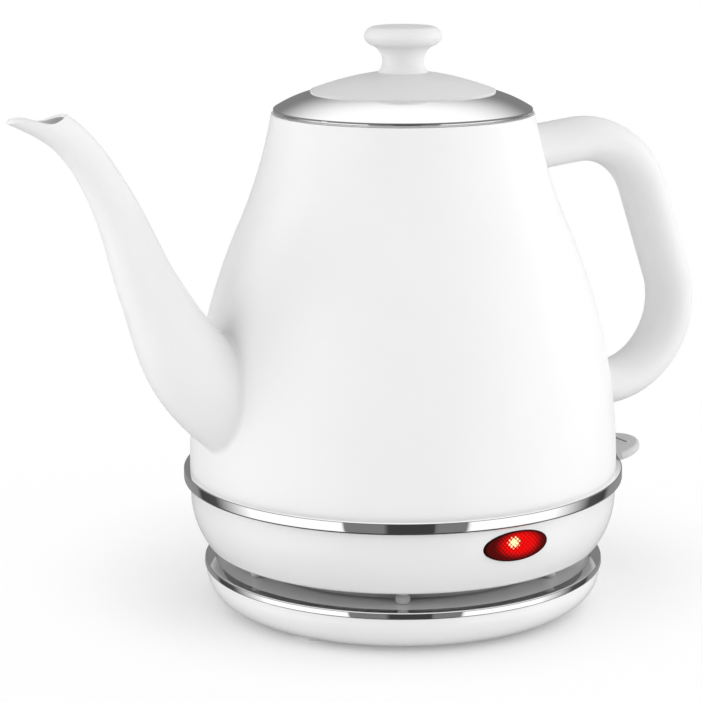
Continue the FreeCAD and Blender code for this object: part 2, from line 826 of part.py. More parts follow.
def mouth_cut():
    """The space above the lip: the cut dips behind the beak and rises to the back of the mouth."""
    out = number(S.body_radius)
    reach = number(S.spout_reach)
    level = number(waist) + number(S.spout_rise)
    bore = number(S.spout_tip)
    rim = [Vector(-out - across * reach, 0, level + height * bore) for across, height in MOUTH_LINE]
    line = Part.BSplineCurve()
    line.interpolate(rim)
    above = level + reach
    corners = [Vector(rim[-1].x, 0, above), Vector(rim[0].x, 0, above)]
    edges = [line.toShape(), Part.LineSegment(rim[-1], corners[0]).toShape(),
             Part.LineSegment(*corners).toShape(), Part.LineSegment(corners[1], rim[0]).toShape()]
    width = reach
    face = Part.Face(Part.Wire(edges))
    face.translate(Vector(0, -width / 2, 0))
    return face.extrude(Vector(0, width, 0))


def handle_pipe(inset):
    """The bent bar of the handle, as an oval section drawn in by an inset."""
    out = number(S.body_radius)
    top = number(body_top - S.handle_drop)
    low = number(waist + S.handle_low)
    bury = number(S.handle_bury)
    points = [Vector(number(S.mouth_radius) - bury, 0, top - number(S.handle_fall)),
              Vector(out + number(S.handle_reach_top), 0, top),
              Vector(out + number(S.handle_reach_low), 0, low),
              Vector(out - bury, 0, low + number(S.handle_tuck))]
    path = bent_wire(points, number(S.handle_bend))
    across = number(S.handle_width) / 2 - inset
    deep = number(S.handle_depth) / 2 - inset
    start = points[0]
    oval = Part.Ellipse(start + Vector(0, across, 0), start + Vector(0, 0, deep), start)
    return path.makePipeShell([Part.Wire([oval.toShape()])], True, False)


# Shares of the wall, the bracket and the screw that fix the handle
BLOCK_WIDTH = 0.6
BLOCK_HEIGHT = 1.2
BLOCK_LENGTH = 1.6
BLOCK_START = 1.2
LOW_SPOT = 0.6
TOP_FALL = 0.647
LOW_TUCK = 0.711
SINK_DEPTH = 0.5
SINK_WIDTH = 2.0
HEAD_WIDTH = 1.9
HEAD_DEPTH = 0.4


def build_handle(core):
    """Hollow handle, its brackets on the body and the screws that hold it."""
    levels = (body_top - S.handle_drop - S.handle_fall * TOP_FALL,
              waist + S.handle_low + S.handle_tuck * LOW_TUCK)
    outside = solid("handle_outside", handle_pipe(0.0))
    hollow = solid("handle_hollow", handle_pipe(number(S.handle_wall)))
    depth = S.handle_depth * 0.5
    block_height = (depth - S.handle_wall) * BLOCK_HEIGHT
    block_width = (S.handle_width - S.handle_wall * 2) * BLOCK_WIDTH
    head_depth = S.handle_wall * HEAD_DEPTH
    sink_depth = S.handle_wall * SINK_DEPTH
    spots = [(shoulder_radius, 0), (S.body_radius + S.bracket_length * LOW_SPOT, 0)]
    holes = []
    blocks = []
    pieces = []
    for index, (spot, level) in enumerate(zip(spots, levels)):
        start = spot[0] - S.bracket_length * BLOCK_START
        block_low = level - block_height * 0.5
        under = level - depth
        block = box(f"handle_block_{index}", S.bracket_length * BLOCK_LENGTH, block_width, block_height,
                    (start, 0, block_low))
        thread = cylinder(f"handle_thread_{index}", S.screw_radius + S.slip, block_height + S.slip,
                          (*spot, block_low - S.slip))
        blocks.append(cut(f"handle_bracket_{index}", block, core, thread))
        holes.append(cylinder(f"handle_bore_{index}", S.screw_radius + S.slip, depth, (*spot, under)))
        holes.append(cylinder(f"handle_sink_{index}", S.screw_radius * SINK_WIDTH, sink_depth,
                              (*spot, under)))
        head = cylinder(f"handle_screw_head_{index}", S.screw_radius * HEAD_WIDTH, head_depth,
                        (*spot, under + sink_depth - head_depth))
        shank = cylinder(f"handle_screw_shank_{index}", S.screw_radius, depth - sink_depth,
                         (*spot, under + sink_depth))
        pieces.append(fuse(f"handle_screw_{index}", head, shank))
    node(cut("handle", outside, hollow, core, *holes))
    node(group("handle_brackets", blocks))
    node(group("handle_screws", pieces))


def build_heater():
    """Vessel floor, heat spreader, element, control unit, power rings and steam tube."""
    inner = S.derive("body_inner", S.body_radius - S.body_wall)
    floor_top = S.derive("floor_top", floor_low + S.floor_thick)
    dish = turned("vessel_floor_blank", [
        (0, floor_low),
        (inner - S.floor_thick - S.slip, floor_low),
        (inner - S.floor_thick - S.slip, waist),
        (inner - S.slip, waist),
        (inner - S.slip, floor_top),
        (0, floor_top),
    ])
    steam_hole = cylinder("steam_hole", S.steam_radius + S.slip, S.floor_thick, (lever_pivot, 0, floor_low))
    node(cut("vessel_floor", dish, steam_hole))
    node(cylinder("heat_spreader", spreader_radius, S.spreader_thick, (0, 0, spreader_low)))
    build_element()
    control_top = S.derive("control_top", spreader_low - S.control_gap)
    ceiling = S.derive("socket_ceiling", S.dome_top + S.socket_headroom)
    pin_top = ceiling + S.pin_grip
    half = S.ring_wall * 0.5
    ring_top = S.derive("ring_top", ceiling + S.ring_grip)
    cup_inner = S.dome_radius + S.socket_play
    cup_outer = flange_radius - S.socket_play
    node(turned("control_unit", [
        (0, pin_top),
        (S.pin_radius + S.slip, pin_top),
        (S.pin_radius + S.slip, ceiling),
        (S.live_radius - half, ceiling),
        (S.live_radius - half, ring_top),
        (S.live_radius + half, ring_top),
        (S.live_radius + half, ceiling),
        (S.neutral_radius - half, ceiling),
        (S.neutral_radius - half, ring_top),
        (S.neutral_radius + half, ring_top),
        (S.neutral_radius + half, ceiling),
        (cup_inner, ceiling),
        (cup_inner, housing_low),
        (cup_outer, housing_low),
        (cup_outer, S.cover_seat),
        (S.control_radius, S.cover_seat),
        (S.control_radius, control_top),
        (0, control_top),
    ]))
    node(cylinder("earth_pin", S.pin_radius, pin_top - pin_end, (0, 0, pin_end)))
    for name, radius in (("live_ring", S.live_radius), ("neutral_ring", S.neutral_radius)):
        tube = cylinder(name + "_tube", radius + half, ring_top - contact_tip, (0, 0, contact_tip))
        bore = cylinder(name + "_bore", radius - half, ring_top - contact_tip, (0, 0, contact_tip))
        node(cut(name, tube, bore))
    disc_circle = S.control_radius * 0.5
    disc_spots = [polar(disc_circle, angle) for angle in DISC_ANGLES]
    disc_low = spreader_low - S.disc_thick
    node(group("boil_dry_discs", drill("boil_dry_disc", disc_spots, S.disc_radius, disc_low, S.disc_thick)))
    node(group("push_pins", drill("push_pin", disc_spots, S.push_pin_radius, control_top,
                                    disc_low - control_top)))
    pillar_spots = [polar(S.control_radius - S.pillar_inset, angle) for angle in FOOT_ANGLES]
    node(group("control_pillars", drill("control_pillar", pillar_spots, S.pillar_radius, control_top,
                                          S.control_gap)))
    build_steam_tube()


ELEMENT_GAP = 50
HALF_TURN = 180
TAIL_SHARE = 0.6


def build_element():
    """A round sheath bent to an open ring under the spreader, with two tails turned down."""
    radius = number(S.element_radius)
    circle = number(element_circle)
    height = number(spreader_low) - radius
    ends = [math.radians(angle) for angle in (HALF_TURN + ELEMENT_GAP / 2, HALF_TURN - ELEMENT_GAP / 2)]
    spots = [Vector(circle * math.cos(angle), circle * math.sin(angle), height) for angle in ends]
    arc = Part.Arc(spots[0], Vector(circle, 0, height), spots[1]).toShape()
    tangent = Vector(-math.sin(ends[0]), math.cos(ends[0]), 0)
    sheath = Part.Wire([arc]).makePipeShell([ring_section(spots[0], tangent, radius)], True, False)
    for spot in spots:
        sheath = sheath.fuse(Part.makeSphere(radius, spot))
        tail = Part.makeCylinder(radius * TAIL_SHARE, number(S.element_tail), spot, Vector(0, 0, -1))
        sheath = sheath.fuse(tail)
    node(solid("heating_element", sheath.removeSplitter()))


# Where the steam tube starts to lean in, and where it ends, as shares of the heights
STEAM_LEAN = 0.57
STEAM_END = 0.86


def build_steam_tube():
    """The tube that leads steam from under the lid to the switch, along the rear wall."""
    spot = number(lever_pivot)
    floor = number(waist)
    points = [Vector(spot, 0, floor + number(S.steam_lift)),
              Vector(spot, 0, floor + number(S.shoulder_height) * STEAM_LEAN),
              Vector(number(S.mouth_radius - S.steam_inset), 0, floor + number(S.body_height) * STEAM_END)]
    tube = round_pipe(points, number(S.steam_bend), number(S.steam_radius))
    bore = round_pipe(points, number(S.steam_bend), number(S.steam_bore))
    node(solid("steam_tube", tube.cut(bore)))


def build_switch():
    """Bracket, pin, rocking lever, contact plunger and the steam disc over them."""
    ledge = S.ledge_top
    hub = S.lever_hub
    thick = S.bracket_thick
    margin = S.bracket_margin
    ear_gap = S.lever_width + S.running * 2
    ear_top = pivot_height + hub + S.bracket_head
    ear_span = (hub + S.bracket_head * 0.3) * 2
    plunger_spot = S.derive("plunger_spot", lever_pivot - S.plunger_arm)
    pin_length = ear_gap + thick * 2
    foot = box("switch_bracket_foot", S.plunger_arm + hub + margin, pin_length, thick,
               (plunger_spot - margin, 0, ledge))
    ears = [box(f"switch_bracket_ear_{index}", ear_span, thick, ear_top - ledge,
                (lever_pivot - ear_span * 0.5, (ear_gap + thick) * 0.5 * side, ledge))
            for index, side in enumerate((-1, 1))]
    pin_base = (lever_pivot, pin_length * -0.5, pivot_height)
    pin_hole = cylinder("lever_pin_hole", S.lever_pin + S.slip, pin_length, pin_base, "y")
    guide = cylinder("plunger_guide", S.plunger_radius + S.slip, thick, (plunger_spot, 0, ledge))
    node(cut("switch_bracket", fuse("switch_bracket_blank", foot, *ears), pin_hole, guide))
    node(cylinder("lever_pin", S.lever_pin, pin_length, pin_base, "y"))
    build_lever(hub, plunger_spot)
    arm_under = pivot_height - hub * 0.5
    plunger_low = ledge + S.plunger_lift
    node(cylinder("contact_plunger", S.plunger_radius, arm_under - S.running * 2 - plunger_low,
                  (plunger_spot, 0, plunger_low)))
    node(cylinder("steam_disc", pin_length * 0.5, S.steam_disc_thick, (lever_pivot, 0, ear_top)))


PADDLE_ROOT = 0.7
PADDLE_TILT = 10


def build_lever(hub, plunger_spot):
    """A rocker with its hub on the pin, a tail over the plunger and a paddle outside."""
    start = S.derive("paddle_start", housing_radius + S.paddle_gap)
    neck = start - S.paddle_neck - S.paddle_round
    half = hub * 0.5
    top = pivot_height + S.paddle_lift
    under = top - S.paddle_thick
    tail = plunger_spot - S.plunger_radius
    arm = padded("lever_arm", "XZ_Plane", [
        (tail, pivot_height - half),
        (neck, pivot_height - half),
        (start + S.paddle_round, under),
        (start + S.paddle_round, top - S.paddle_round),
        (start, top - S.paddle_round),
        (neck - S.paddle_round, pivot_height + half),
        (tail, pivot_height + half),
    ], S.lever_width)
    barrel = cylinder("lever_barrel", hub, S.lever_width,
                      (lever_pivot, S.lever_width * -0.5, pivot_height), "y")
    bore = cylinder("lever_bore", S.lever_pin + S.slip, S.lever_width,
                    (lever_pivot, S.lever_width * -0.5, pivot_height), "y")
    paddle = build_paddle(start, under)
    node(cut("switch_lever", fuse("switch_lever_blank", arm, barrel, paddle), bore))


def build_paddle(start, under):
    """The oval finger plate of the lever, with its edges rounded, tilted up to the finger."""
    round_end = S.paddle_width * 0.5
    reach = start + S.paddle_length
    paddle = doc.addObject("PartDesign::Body", "lever_paddle")
    outline = outline_sketch(paddle, "lever_paddle_outline", "XY_Plane", [
        (start, -round_end * PADDLE_ROOT),
        (start + S.paddle_neck, -round_end),
        (reach - round_end, -round_end, round_end),
        (reach, 0, round_end),
        (reach - round_end, round_end),
        (start + S.paddle_neck, round_end),
        (start, round_end * PADDLE_ROOT),
    ])
    pad = paddle.newObject("PartDesign::Pad", "lever_paddle_pad")
    pad.Profile = outline
    bind(pad, "Length", S.paddle_thick)
    doc.recompute()
    level = [f"Edge{index + 1}" for index, edge in enumerate(pad.Shape.Edges)
             if edge.BoundBox.ZLength < number(S.slip)]
    soft = paddle.newObject("PartDesign::Fillet", "lever_paddle_soft")
    soft.Base = (pad, level)
    bind(soft, "Radius", S.paddle_round)
    tilt = math.radians(PADDLE_TILT)
    place(paddle, (start - start * math.cos(tilt), 0, under - start * math.sin(tilt)),
          Rotation(Vector(0, 1, 0), -PADDLE_TILT))
    return paddle


# Shares of the knob's height, and of the cap's radius for its hollow sweep
KNOB_BORE = 0.4
KNOB_WAIST = 0.59
KNOB_EDGE = 0.775
KNOB_HOLLOW = 0.36
KNOB_UNDER = 0.26
KNOB_OVER = 0.24
CAP_SWEEP = 3.5


def build_lid():
    """Lid ring, cap, knob, liner, seal, spacer and the screw through them."""
    wall = S.lid_wall
    edge = mouth_top + S.lid_edge
    chamfer = S.lid_chamfer
    inner_mouth = S.mouth_radius - S.mouth_width
    flange = inner_mouth - S.liner_gap
    hole = S.screw_radius + S.slip
    cap_inner = S.cap_radius - S.cap_seat_width
    sweep = S.cap_radius * CAP_SWEEP
    node(turned("lid_ring", [
        (flange, mouth_top),
        (lid_radius - chamfer, mouth_top),
        (lid_radius, mouth_top + chamfer),
        (lid_radius, edge - chamfer, wall),
        (lid_radius - chamfer, edge, lid_radius),
        (S.cap_radius, cap_seat),
        (cap_inner, cap_seat),
        (cap_inner, cap_seat - wall),
        (S.cap_radius, cap_seat - wall, -lid_radius),
        (flange, edge - wall),
    ]))
    node(turned("lid_cap", [
        (hole, knob_seat),
        (S.neck_radius + S.screw_play, knob_seat, -sweep),
        (S.cap_radius, cap_seat + S.cap_edge),
        (S.cap_radius, cap_seat),
        (cap_inner, cap_seat, sweep),
        (S.neck_radius, knob_seat - S.cap_wall),
        (hole, knob_seat - S.cap_wall),
    ]))
    wide = S.knob_radius
    tall = S.knob_height
    node(turned("lid_knob", [
        (0, knob_seat + tall * KNOB_BORE),
        (hole, knob_seat + tall * KNOB_BORE),
        (hole, knob_seat),
        (S.neck_radius, knob_seat, -(tall * KNOB_HOLLOW)),
        (wide - S.knob_waist, knob_seat + tall * KNOB_WAIST, tall * KNOB_UNDER),
        (wide, knob_seat + tall * KNOB_EDGE, tall * KNOB_OVER),
        (wide - S.knob_crown, knob_seat + tall - S.slip * 2),
        (0, knob_seat + tall),
    ]))
    build_liner(inner_mouth, flange, hole)


def build_liner(inner_mouth, flange, hole):
    """The lid's inside: liner, seal, spacer and the knob's screw."""
    wall = S.lid_wall
    out = S.derive("liner_radius", inner_mouth - S.liner_inset)
    low = S.derive("liner_low", mouth_top - S.liner_depth)
    node(turned("lid_liner", [
        (hole, low),
        (out, low),
        (out, mouth_top - wall),
        (flange - S.slip, mouth_top - wall),
        (flange - S.slip, mouth_top),
        (out - wall, mouth_top),
        (out - wall, low + wall),
        (hole, low + wall),
    ]))
    seal_low = S.derive("seal_low", body_top - S.seal_depth)
    reach = inner_mouth - S.running
    height = S.seal_height
    node(turned("lid_seal", [
        (out + S.slip, seal_low),
        (reach, seal_low + height * 0.25),
        (reach, seal_low + height * 0.4),
        (out + S.liner_inset * 0.33, seal_low + height * 0.5),
        (reach, seal_low + height * 0.6),
        (reach, seal_low + height * 0.75),
        (out + S.slip, seal_low + height),
    ]))
    spacer_low = low + wall
    spacer_length = knob_seat - S.cap_wall - spacer_low
    tube = cylinder("lid_spacer_tube", S.screw_radius * SINK_WIDTH, spacer_length, (0, 0, spacer_low))
    bore = cylinder("lid_spacer_bore", hole, spacer_length, (0, 0, spacer_low))
    node(cut("lid_spacer", tube, bore))
    tip = knob_seat + S.knob_height * KNOB_BORE - S.cap_edge
    screws("knob_screw", [(0, 0)], low - S.screw_head_height, S.screw_radius * SINK_WIDTH,
           S.screw_head_height, S.screw_radius, tip - low)


def finish():
    """Check every object and write each piece to its own file."""
    doc.recompute()
    for item in doc.Objects:
        broken = [state for state in item.State if state in ("Invalid", "Error")]
        if broken:
            raise RuntimeError(f"{item.Name} is {broken}: {item.getStatusString()}")
    os.makedirs("parts", exist_ok=True)
    for piece in NODES:
        shape = piece.Shape
        if shape.isNull() or not shape.isValid() or not shape.Solids:
            raise RuntimeError(f"{piece.Label} has no valid solid")
        shape.exportStep(f"parts/{piece.Label}.step")
        bounds = shape.BoundBox
        print(f"{piece.Label:18s} solids {len(shape.Solids)} volume {shape.Volume:10.1f} "
              f"z {bounds.ZMin:7.2f} to {bounds.ZMax:7.2f}")


build_base()
build_connector()
build_underside()
build_indicator()
build_body()
build_heater()
build_switch()
build_lid()
finish()
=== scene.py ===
"""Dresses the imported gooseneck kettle: finishes, fine forms, studio and camera."""
import json
import logging
import math
from collections.abc import Callable, Iterator
from contextlib import contextmanager
from dataclasses import dataclass, field
from enum import Enum

import bmesh
import bpy
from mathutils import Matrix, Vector


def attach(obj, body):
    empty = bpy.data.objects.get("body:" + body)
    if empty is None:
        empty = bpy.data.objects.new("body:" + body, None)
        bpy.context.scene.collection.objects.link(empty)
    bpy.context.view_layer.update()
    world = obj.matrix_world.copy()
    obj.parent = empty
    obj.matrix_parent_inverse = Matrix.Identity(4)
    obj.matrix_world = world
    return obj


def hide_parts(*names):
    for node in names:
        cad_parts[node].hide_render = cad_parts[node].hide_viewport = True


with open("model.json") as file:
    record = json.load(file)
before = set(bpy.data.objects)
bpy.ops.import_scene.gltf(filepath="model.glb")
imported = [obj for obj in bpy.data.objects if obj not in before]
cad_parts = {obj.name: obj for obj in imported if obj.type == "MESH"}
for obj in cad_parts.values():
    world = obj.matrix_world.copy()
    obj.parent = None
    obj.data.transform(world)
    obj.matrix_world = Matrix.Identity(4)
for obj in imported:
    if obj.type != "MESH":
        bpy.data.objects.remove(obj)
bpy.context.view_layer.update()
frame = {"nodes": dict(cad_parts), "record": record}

logging.basicConfig(level=logging.INFO, format="%(message)s")
log = logging.getLogger("kettle")

MM = 0.001
FULL_TURN = 2.0 * math.pi
MERGE_REACH = 0.002 * MM
WHITE = (1.0, 1.0, 1.0, 1.0)

Point = tuple[float, float]
Spot = tuple[float, float, float]
Ring = list[Vector]
Outline = list[Point]
Piece = bpy.types.Object
Material = bpy.types.Material
Tree = bpy.types.NodeTree
Node = bpy.types.Node
Socket = bpy.types.NodeSocket
Value = Socket | float
Inputs = dict[str | int, Value | tuple]


class Body(Enum):
    """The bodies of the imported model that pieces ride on."""

    BASE = "base"
    KETTLE = "kettle"
    LID = "lid"
    LEVER = "lever"


class Grain(Enum):
    """The fine relief that a surface shows close up."""

    PEEL = "peel_relief"
    MOULDED = "moulded_relief"
    TURNED = "turned_relief"
    CAST = "cast_relief"


class Net:
    """A node tree that is being wired."""

    def __init__(self, tree: Tree) -> None:
        """Keeps the tree."""
        self.tree = tree

    def feed(self, node: Node, inputs: Inputs) -> None:
        """Sets or links inputs of a node.

        Args:
            node: the node.
            inputs: numbers, colours or sockets by the input's label or number.
        """
        for label, value in inputs.items():
            if isinstance(value, Socket):
                self.tree.links.new(value, node.inputs[label])
            else:
                node.inputs[label].default_value = value

    def add(self, kind: str, inputs: Inputs | None = None, **settings: object) -> Node:
        """Adds a node, sets it up and feeds it.

        Args:
            kind: the node's type, without Blender's prefix.
            inputs: what goes into it.
            settings: the node's other properties.

        Returns:
            The node.
        """
        node = self.tree.nodes.new(f"ShaderNode{kind}")
        for label, value in settings.items():
            setattr(node, label, value)
        self.feed(node, inputs or {})
        return node

    def group(self, tree: Tree, inputs: Inputs) -> bpy.types.bpy_prop_collection:
        """The outputs of a node group, by label."""
        return self.add("Group", inputs, node_tree=tree).outputs

    def math(self, operation: str, *values: Value) -> Socket:
        """The result of a math node."""
        return self.add("Math", dict(enumerate(values)), operation=operation).outputs[0]

    def lerp(self, start: Value, stop: Value, share: Socket) -> Socket:
        """A value between two values."""
        return self.math("ADD", self.math("MULTIPLY", start, self.math("SUBTRACT", 1.0, share)),
                         self.math("MULTIPLY", stop, share))

    def between(self, value: Socket, span: Point, levels: Point = (0.0, 1.0)) -> Socket:
        """A soft step from one level to another over a span of a value."""
        ends = dict(zip(("From Min", "From Max", "To Min", "To Max"), (*span, *levels)))
        return self.add("MapRange", {"Value": value, **ends}, interpolation_type="SMOOTHSTEP").outputs[0]

    def ramp(self, share: Socket, bands: tuple[Point, ...]) -> Socket:
        """Greys that change with the angle.

        Args:
            share: the angle as a share of a full turn.
            bands: (degrees, grey) pairs over a full turn.

        Returns:
            The grey's socket.
        """
        node = self.add("ValToRGB", {0: share})
        points = node.color_ramp.elements
        while len(points) < len(bands):
            points.new(1.0)
        for point, (degrees, level) in zip(points, bands):
            point.position = (degrees + 180.0) / 360.0
            point.color = (*grey(level), 1.0)
        return node.outputs[0]

    def place(self) -> Socket:
        """The Object coordinates."""
        return self.add("TexCoord").outputs["Object"]

    def split(self, place: Socket) -> tuple[Socket, ...]:
        """The X, Y and Z parts of a vector."""
        return tuple(self.add("SeparateXYZ", {0: place}).outputs)

    def noise(self, scale: Value, detail: float, place: Socket) -> Socket:
        """Noise with a scale in features per metre and octaves of finer noise."""
        return self.add("TexNoise", {"Vector": place, "Scale": scale, "Detail": detail}).outputs[0]

    def blend(self, share: Socket, first: Socket, second: Socket) -> Socket:
        """A mix of two shaders."""
        return self.add("MixShader", {0: share, 1: first, 2: second}).outputs[0]


class Effects:
    """Builds each node group that finishes share, once."""

    SOCKETS = {"Colour": "NodeSocketColor"}
    NOISE_MIDDLE = 0.5
    BROAD_DETAIL = 3.0
    FINE_DETAIL = 5.0
    FINE_SCALE = 4.3
    RELIEF_DETAIL = {Grain.PEEL: 1.0, Grain.CAST: 6.0, Grain.TURNED: 2.0}

    @classmethod
    def start(cls, name: str, inputs: tuple[str, ...], outputs: tuple[str, ...]) -> tuple:
        """Makes an empty group with named sockets.

        Args:
            name: the group's name.
            inputs: labels of its inputs.
            outputs: labels of its outputs.

        Returns:
            The group's net, its inputs by label and its output node.
        """
        tree = bpy.data.node_groups.new(name, "ShaderNodeTree")
        for way, labels in (("INPUT", inputs), ("OUTPUT", outputs)):
            for label in labels:
                kind = cls.SOCKETS.get(label, "NodeSocketFloat")
                tree.interface.new_socket(label, in_out=way, socket_type=kind)
        return Net(tree), tree.nodes.new("NodeGroupInput").outputs, tree.nodes.new("NodeGroupOutput")

    @classmethod
    def drift(cls) -> Tree:
        """Slow changes of colour and gloss over a surface.

        Returns:
            The node group.
        """
        name = "surface_drift"
        if name in bpy.data.node_groups:
            return bpy.data.node_groups[name]
        net, source, result = cls.start(name, ("Colour", "Drift", "Roughness", "Spread", "Scale"),
                                        ("Colour", "Roughness"))
        broad = net.noise(source["Scale"], cls.BROAD_DETAIL, net.place())
        fine_scale = net.math("MULTIPLY", source["Scale"], cls.FINE_SCALE)
        fine = net.noise(fine_scale, cls.FINE_DETAIL, net.place())
        shade = net.math("SUBTRACT", 1.0, net.math("MULTIPLY", broad, source["Drift"]))
        colour = net.add("VectorMath", {0: source["Colour"], "Scale": shade}, operation="SCALE")
        swing = net.math("MULTIPLY", net.math("SUBTRACT", fine, cls.NOISE_MIDDLE), source["Spread"])
        net.feed(result, {"Colour": colour.outputs[0],
                          "Roughness": net.math("ADD", source["Roughness"], swing)})
        return net.tree

    @classmethod
    def relief(cls, grain: Grain) -> Tree:
        """The height pattern of one grain.

        Args:
            grain: the grain.

        Returns:
            The node group.
        """
        if grain.value in bpy.data.node_groups:
            return bpy.data.node_groups[grain.value]
        net, source, result = cls.start(grain.value, ("Scale",), ("Height",))
        if grain is Grain.MOULDED:
            cells = net.add("TexVoronoi", {"Vector": net.place(), "Scale": source["Scale"]})
            height = cells.outputs["Distance"]
        else:
            place = cls.turned(net) if grain is Grain.TURNED else net.place()
            height = net.noise(source["Scale"], cls.RELIEF_DETAIL[grain], place)
        net.feed(result, {"Height": height})
        return net.tree

    @staticmethod
    def turned(net: Net) -> Socket:
        """A place whose noise runs in lines round the kettle's axis.

        Args:
            net: the tree that gets the nodes.

        Returns:
            The vector of radius and height.
        """
        across, along, up = net.split(net.place())
        squares = [net.math("MULTIPLY", part, part) for part in (across, along)]
        radius = net.math("SQRT", net.math("ADD", *squares))
        return net.add("CombineXYZ", {"X": radius, "Y": up}).outputs[0]


def grey(level: float) -> Spot:
    """A neutral colour."""
    return level, level, level


def fresh(name: str) -> tuple[Material, Net, Node]:
    """Starts a material.

    Args:
        name: its name.

    Returns:
        The material, its net and its Principled shader.
    """
    material = bpy.data.materials.new(name)
    material.use_nodes = True
    return material, Net(material.node_tree), material.node_tree.nodes["Principled BSDF"]


@dataclass(frozen=True)
class Finish:
    """One surface finish as a procedural material."""

    name: str
    colour: Spot
    roughness: float
    grain: Grain
    grain_scale: float
    grain_depth: float
    metallic: float = 0.0
    coat: float = 0.0
    coat_roughness: float = 0.08
    drift: float = 0.03
    spread: float = 0.06
    scale: float = 45.0
    transmission: float = 0.0
    ior: float = 1.5
    glow: float = 0.0
    specular: float = 0.5

    def material(self) -> Material:
        """Builds the material, or finds the one built before.

        Returns:
            The material.
        """
        name = f"{self.name}_finish"
        if name in bpy.data.materials:
            return bpy.data.materials[name]
        material, net, shader = fresh(name)
        colour = (*self.colour, 1.0)
        drift = net.group(Effects.drift(), {
            "Colour": colour, "Drift": self.drift, "Scale": self.scale,
            "Roughness": self.roughness, "Spread": self.spread})
        relief = net.group(Effects.relief(self.grain), {"Scale": self.grain_scale})
        bump = net.add("Bump", {"Strength": 1.0, "Distance": self.grain_depth * MM,
                                "Height": relief["Height"]})
        net.feed(shader, {
            "Base Color": drift["Colour"], "Roughness": drift["Roughness"],
            "Normal": bump.outputs["Normal"], "Metallic": self.metallic, "Coat Weight": self.coat,
            "Coat Roughness": self.coat_roughness, "IOR": self.ior,
            "Transmission Weight": self.transmission, "Specular IOR Level": self.specular})
        if self.glow:
            net.feed(shader, {"Emission Color": colour, "Emission Strength": self.glow})
        return material


FINISHES = {finish.name: finish for finish in (
    Finish("white_gloss", grey(0.74), 0.2, Grain.PEEL, 420, 0.004, coat=0.2, specular=0.3),
    Finish("white_paint", grey(0.785), 0.34, Grain.PEEL, 900, 0.005, specular=0.4),
    Finish("white_satin", grey(0.73), 0.40, Grain.MOULDED, 2600, 0.012, specular=0.4),
    Finish("bright_chrome", grey(0.94), 0.03, Grain.TURNED, 2500, 0.0002, metallic=1.0,
           drift=0.01, spread=0.01),
    Finish("vessel_steel", (0.62, 0.61, 0.59), 0.30, Grain.TURNED, 3000, 0.004, metallic=1.0),
    Finish("bracket_steel", (0.55, 0.55, 0.54), 0.38, Grain.CAST, 900, 0.006, metallic=1.0),
    Finish("screw_steel", grey(0.60), 0.28, Grain.CAST, 1500, 0.004, metallic=1.0),
    Finish("heater_alloy", (0.68, 0.68, 0.69), 0.45, Grain.CAST, 700, 0.02, metallic=1.0),
    Finish("contact_brass", (0.78, 0.58, 0.26), 0.25, Grain.CAST, 900, 0.004, metallic=1.0, drift=0.12),
    Finish("disc_metal", (0.60, 0.55, 0.48), 0.32, Grain.TURNED, 2500, 0.003, metallic=1.0),
    Finish("grey_plastic", (0.30, 0.30, 0.305), 0.48, Grain.MOULDED, 1700, 0.02),
    Finish("dark_plastic", (0.035, 0.035, 0.037), 0.42, Grain.MOULDED, 1700, 0.02),
    Finish("ceramic_white", (0.80, 0.78, 0.73), 0.55, Grain.CAST, 900, 0.02),
    Finish("soft_rubber", grey(0.74), 0.55, Grain.MOULDED, 1200, 0.02),
    Finish("clear_silicone", (0.84, 0.84, 0.82), 0.38, Grain.PEEL, 500, 0.01, transmission=0.35, ior=1.41),
    Finish("lead_cover", (0.70, 0.16, 0.08), 0.45, Grain.PEEL, 700, 0.01),
    Finish("red_lens", (0.30, 0.004, 0.006), 0.12, Grain.PEEL, 500, 0.004, coat=1.0),
    Finish("lamp_glass", (1.0, 0.62, 0.22), 0.12, Grain.PEEL, 300, 0.004, glow=1.0),
)}
MARK_GREY = Finish("mark_grey", grey(0.16), 0.5, Grain.MOULDED, 2600, 0.01)
PAD_GREY = Finish("pad_grey", grey(0.46), 0.5, Grain.MOULDED, 1200, 0.02)
# Finishes of single nodes; those of the base tray, the lid cap and the switch lever carry painted light and
# shade.
NODE_FINISHES_AND_PAINTED_LIGHT = {
    # The base tray wears a lighter copy of the white gloss: painted light that lifts the shaded gap under the
    # kettle.
    "base_tray": Finish("base_gloss", grey(0.79), 0.2, Grain.PEEL, 420, 0.004, coat=0.2, specular=0.3),
    # The lid cap wears a darker copy of the white satin: painted shade on its upward-facing top.
    "lid_cap": Finish("cap_satin", grey(0.67), 0.42, Grain.MOULDED, 2600, 0.012, specular=0.4),
    # The switch lever's dark satin grey is painted shade for the paddle, which sits in the shade of the
    # handle and the body.
    "switch_lever": Finish("lever_satin", grey(0.54), 0.42, Grain.MOULDED, 2600, 0.012, specular=0.4),
    "handle": Finish("handle_satin", grey(0.72), 0.45, Grain.MOULDED, 2600, 0.012, specular=0.4),
}


# Modelling steps that the assemblies share


def deselect() -> None:
    """Leaves nothing selected, so that the next operator acts on one piece only."""
    if bpy.context.object and bpy.context.object.mode != "OBJECT":
        bpy.ops.object.mode_set(mode="OBJECT")
    bpy.ops.object.select_all(action="DESELECT")


def choose(piece: Piece) -> None:
    """Selects one piece alone and makes it the active one.

    Args:
        piece: the piece.
    """
    deselect()
    piece.select_set(True)
    bpy.context.view_layer.objects.active = piece


@contextmanager
def editing() -> Iterator[None]:
    """Edit mode on the active piece with all of it selected, then object mode again."""
    bpy.ops.object.mode_set(mode="EDIT")
    bpy.ops.mesh.select_all(action="SELECT")
    yield
    bpy.ops.object.mode_set(mode="OBJECT")


def merge_all() -> None:
    """Joins points of the edited piece that lie together, and leaves all of it selected."""
    bpy.ops.mesh.remove_doubles(threshold=MERGE_REACH)
    bpy.ops.mesh.select_all(action="SELECT")


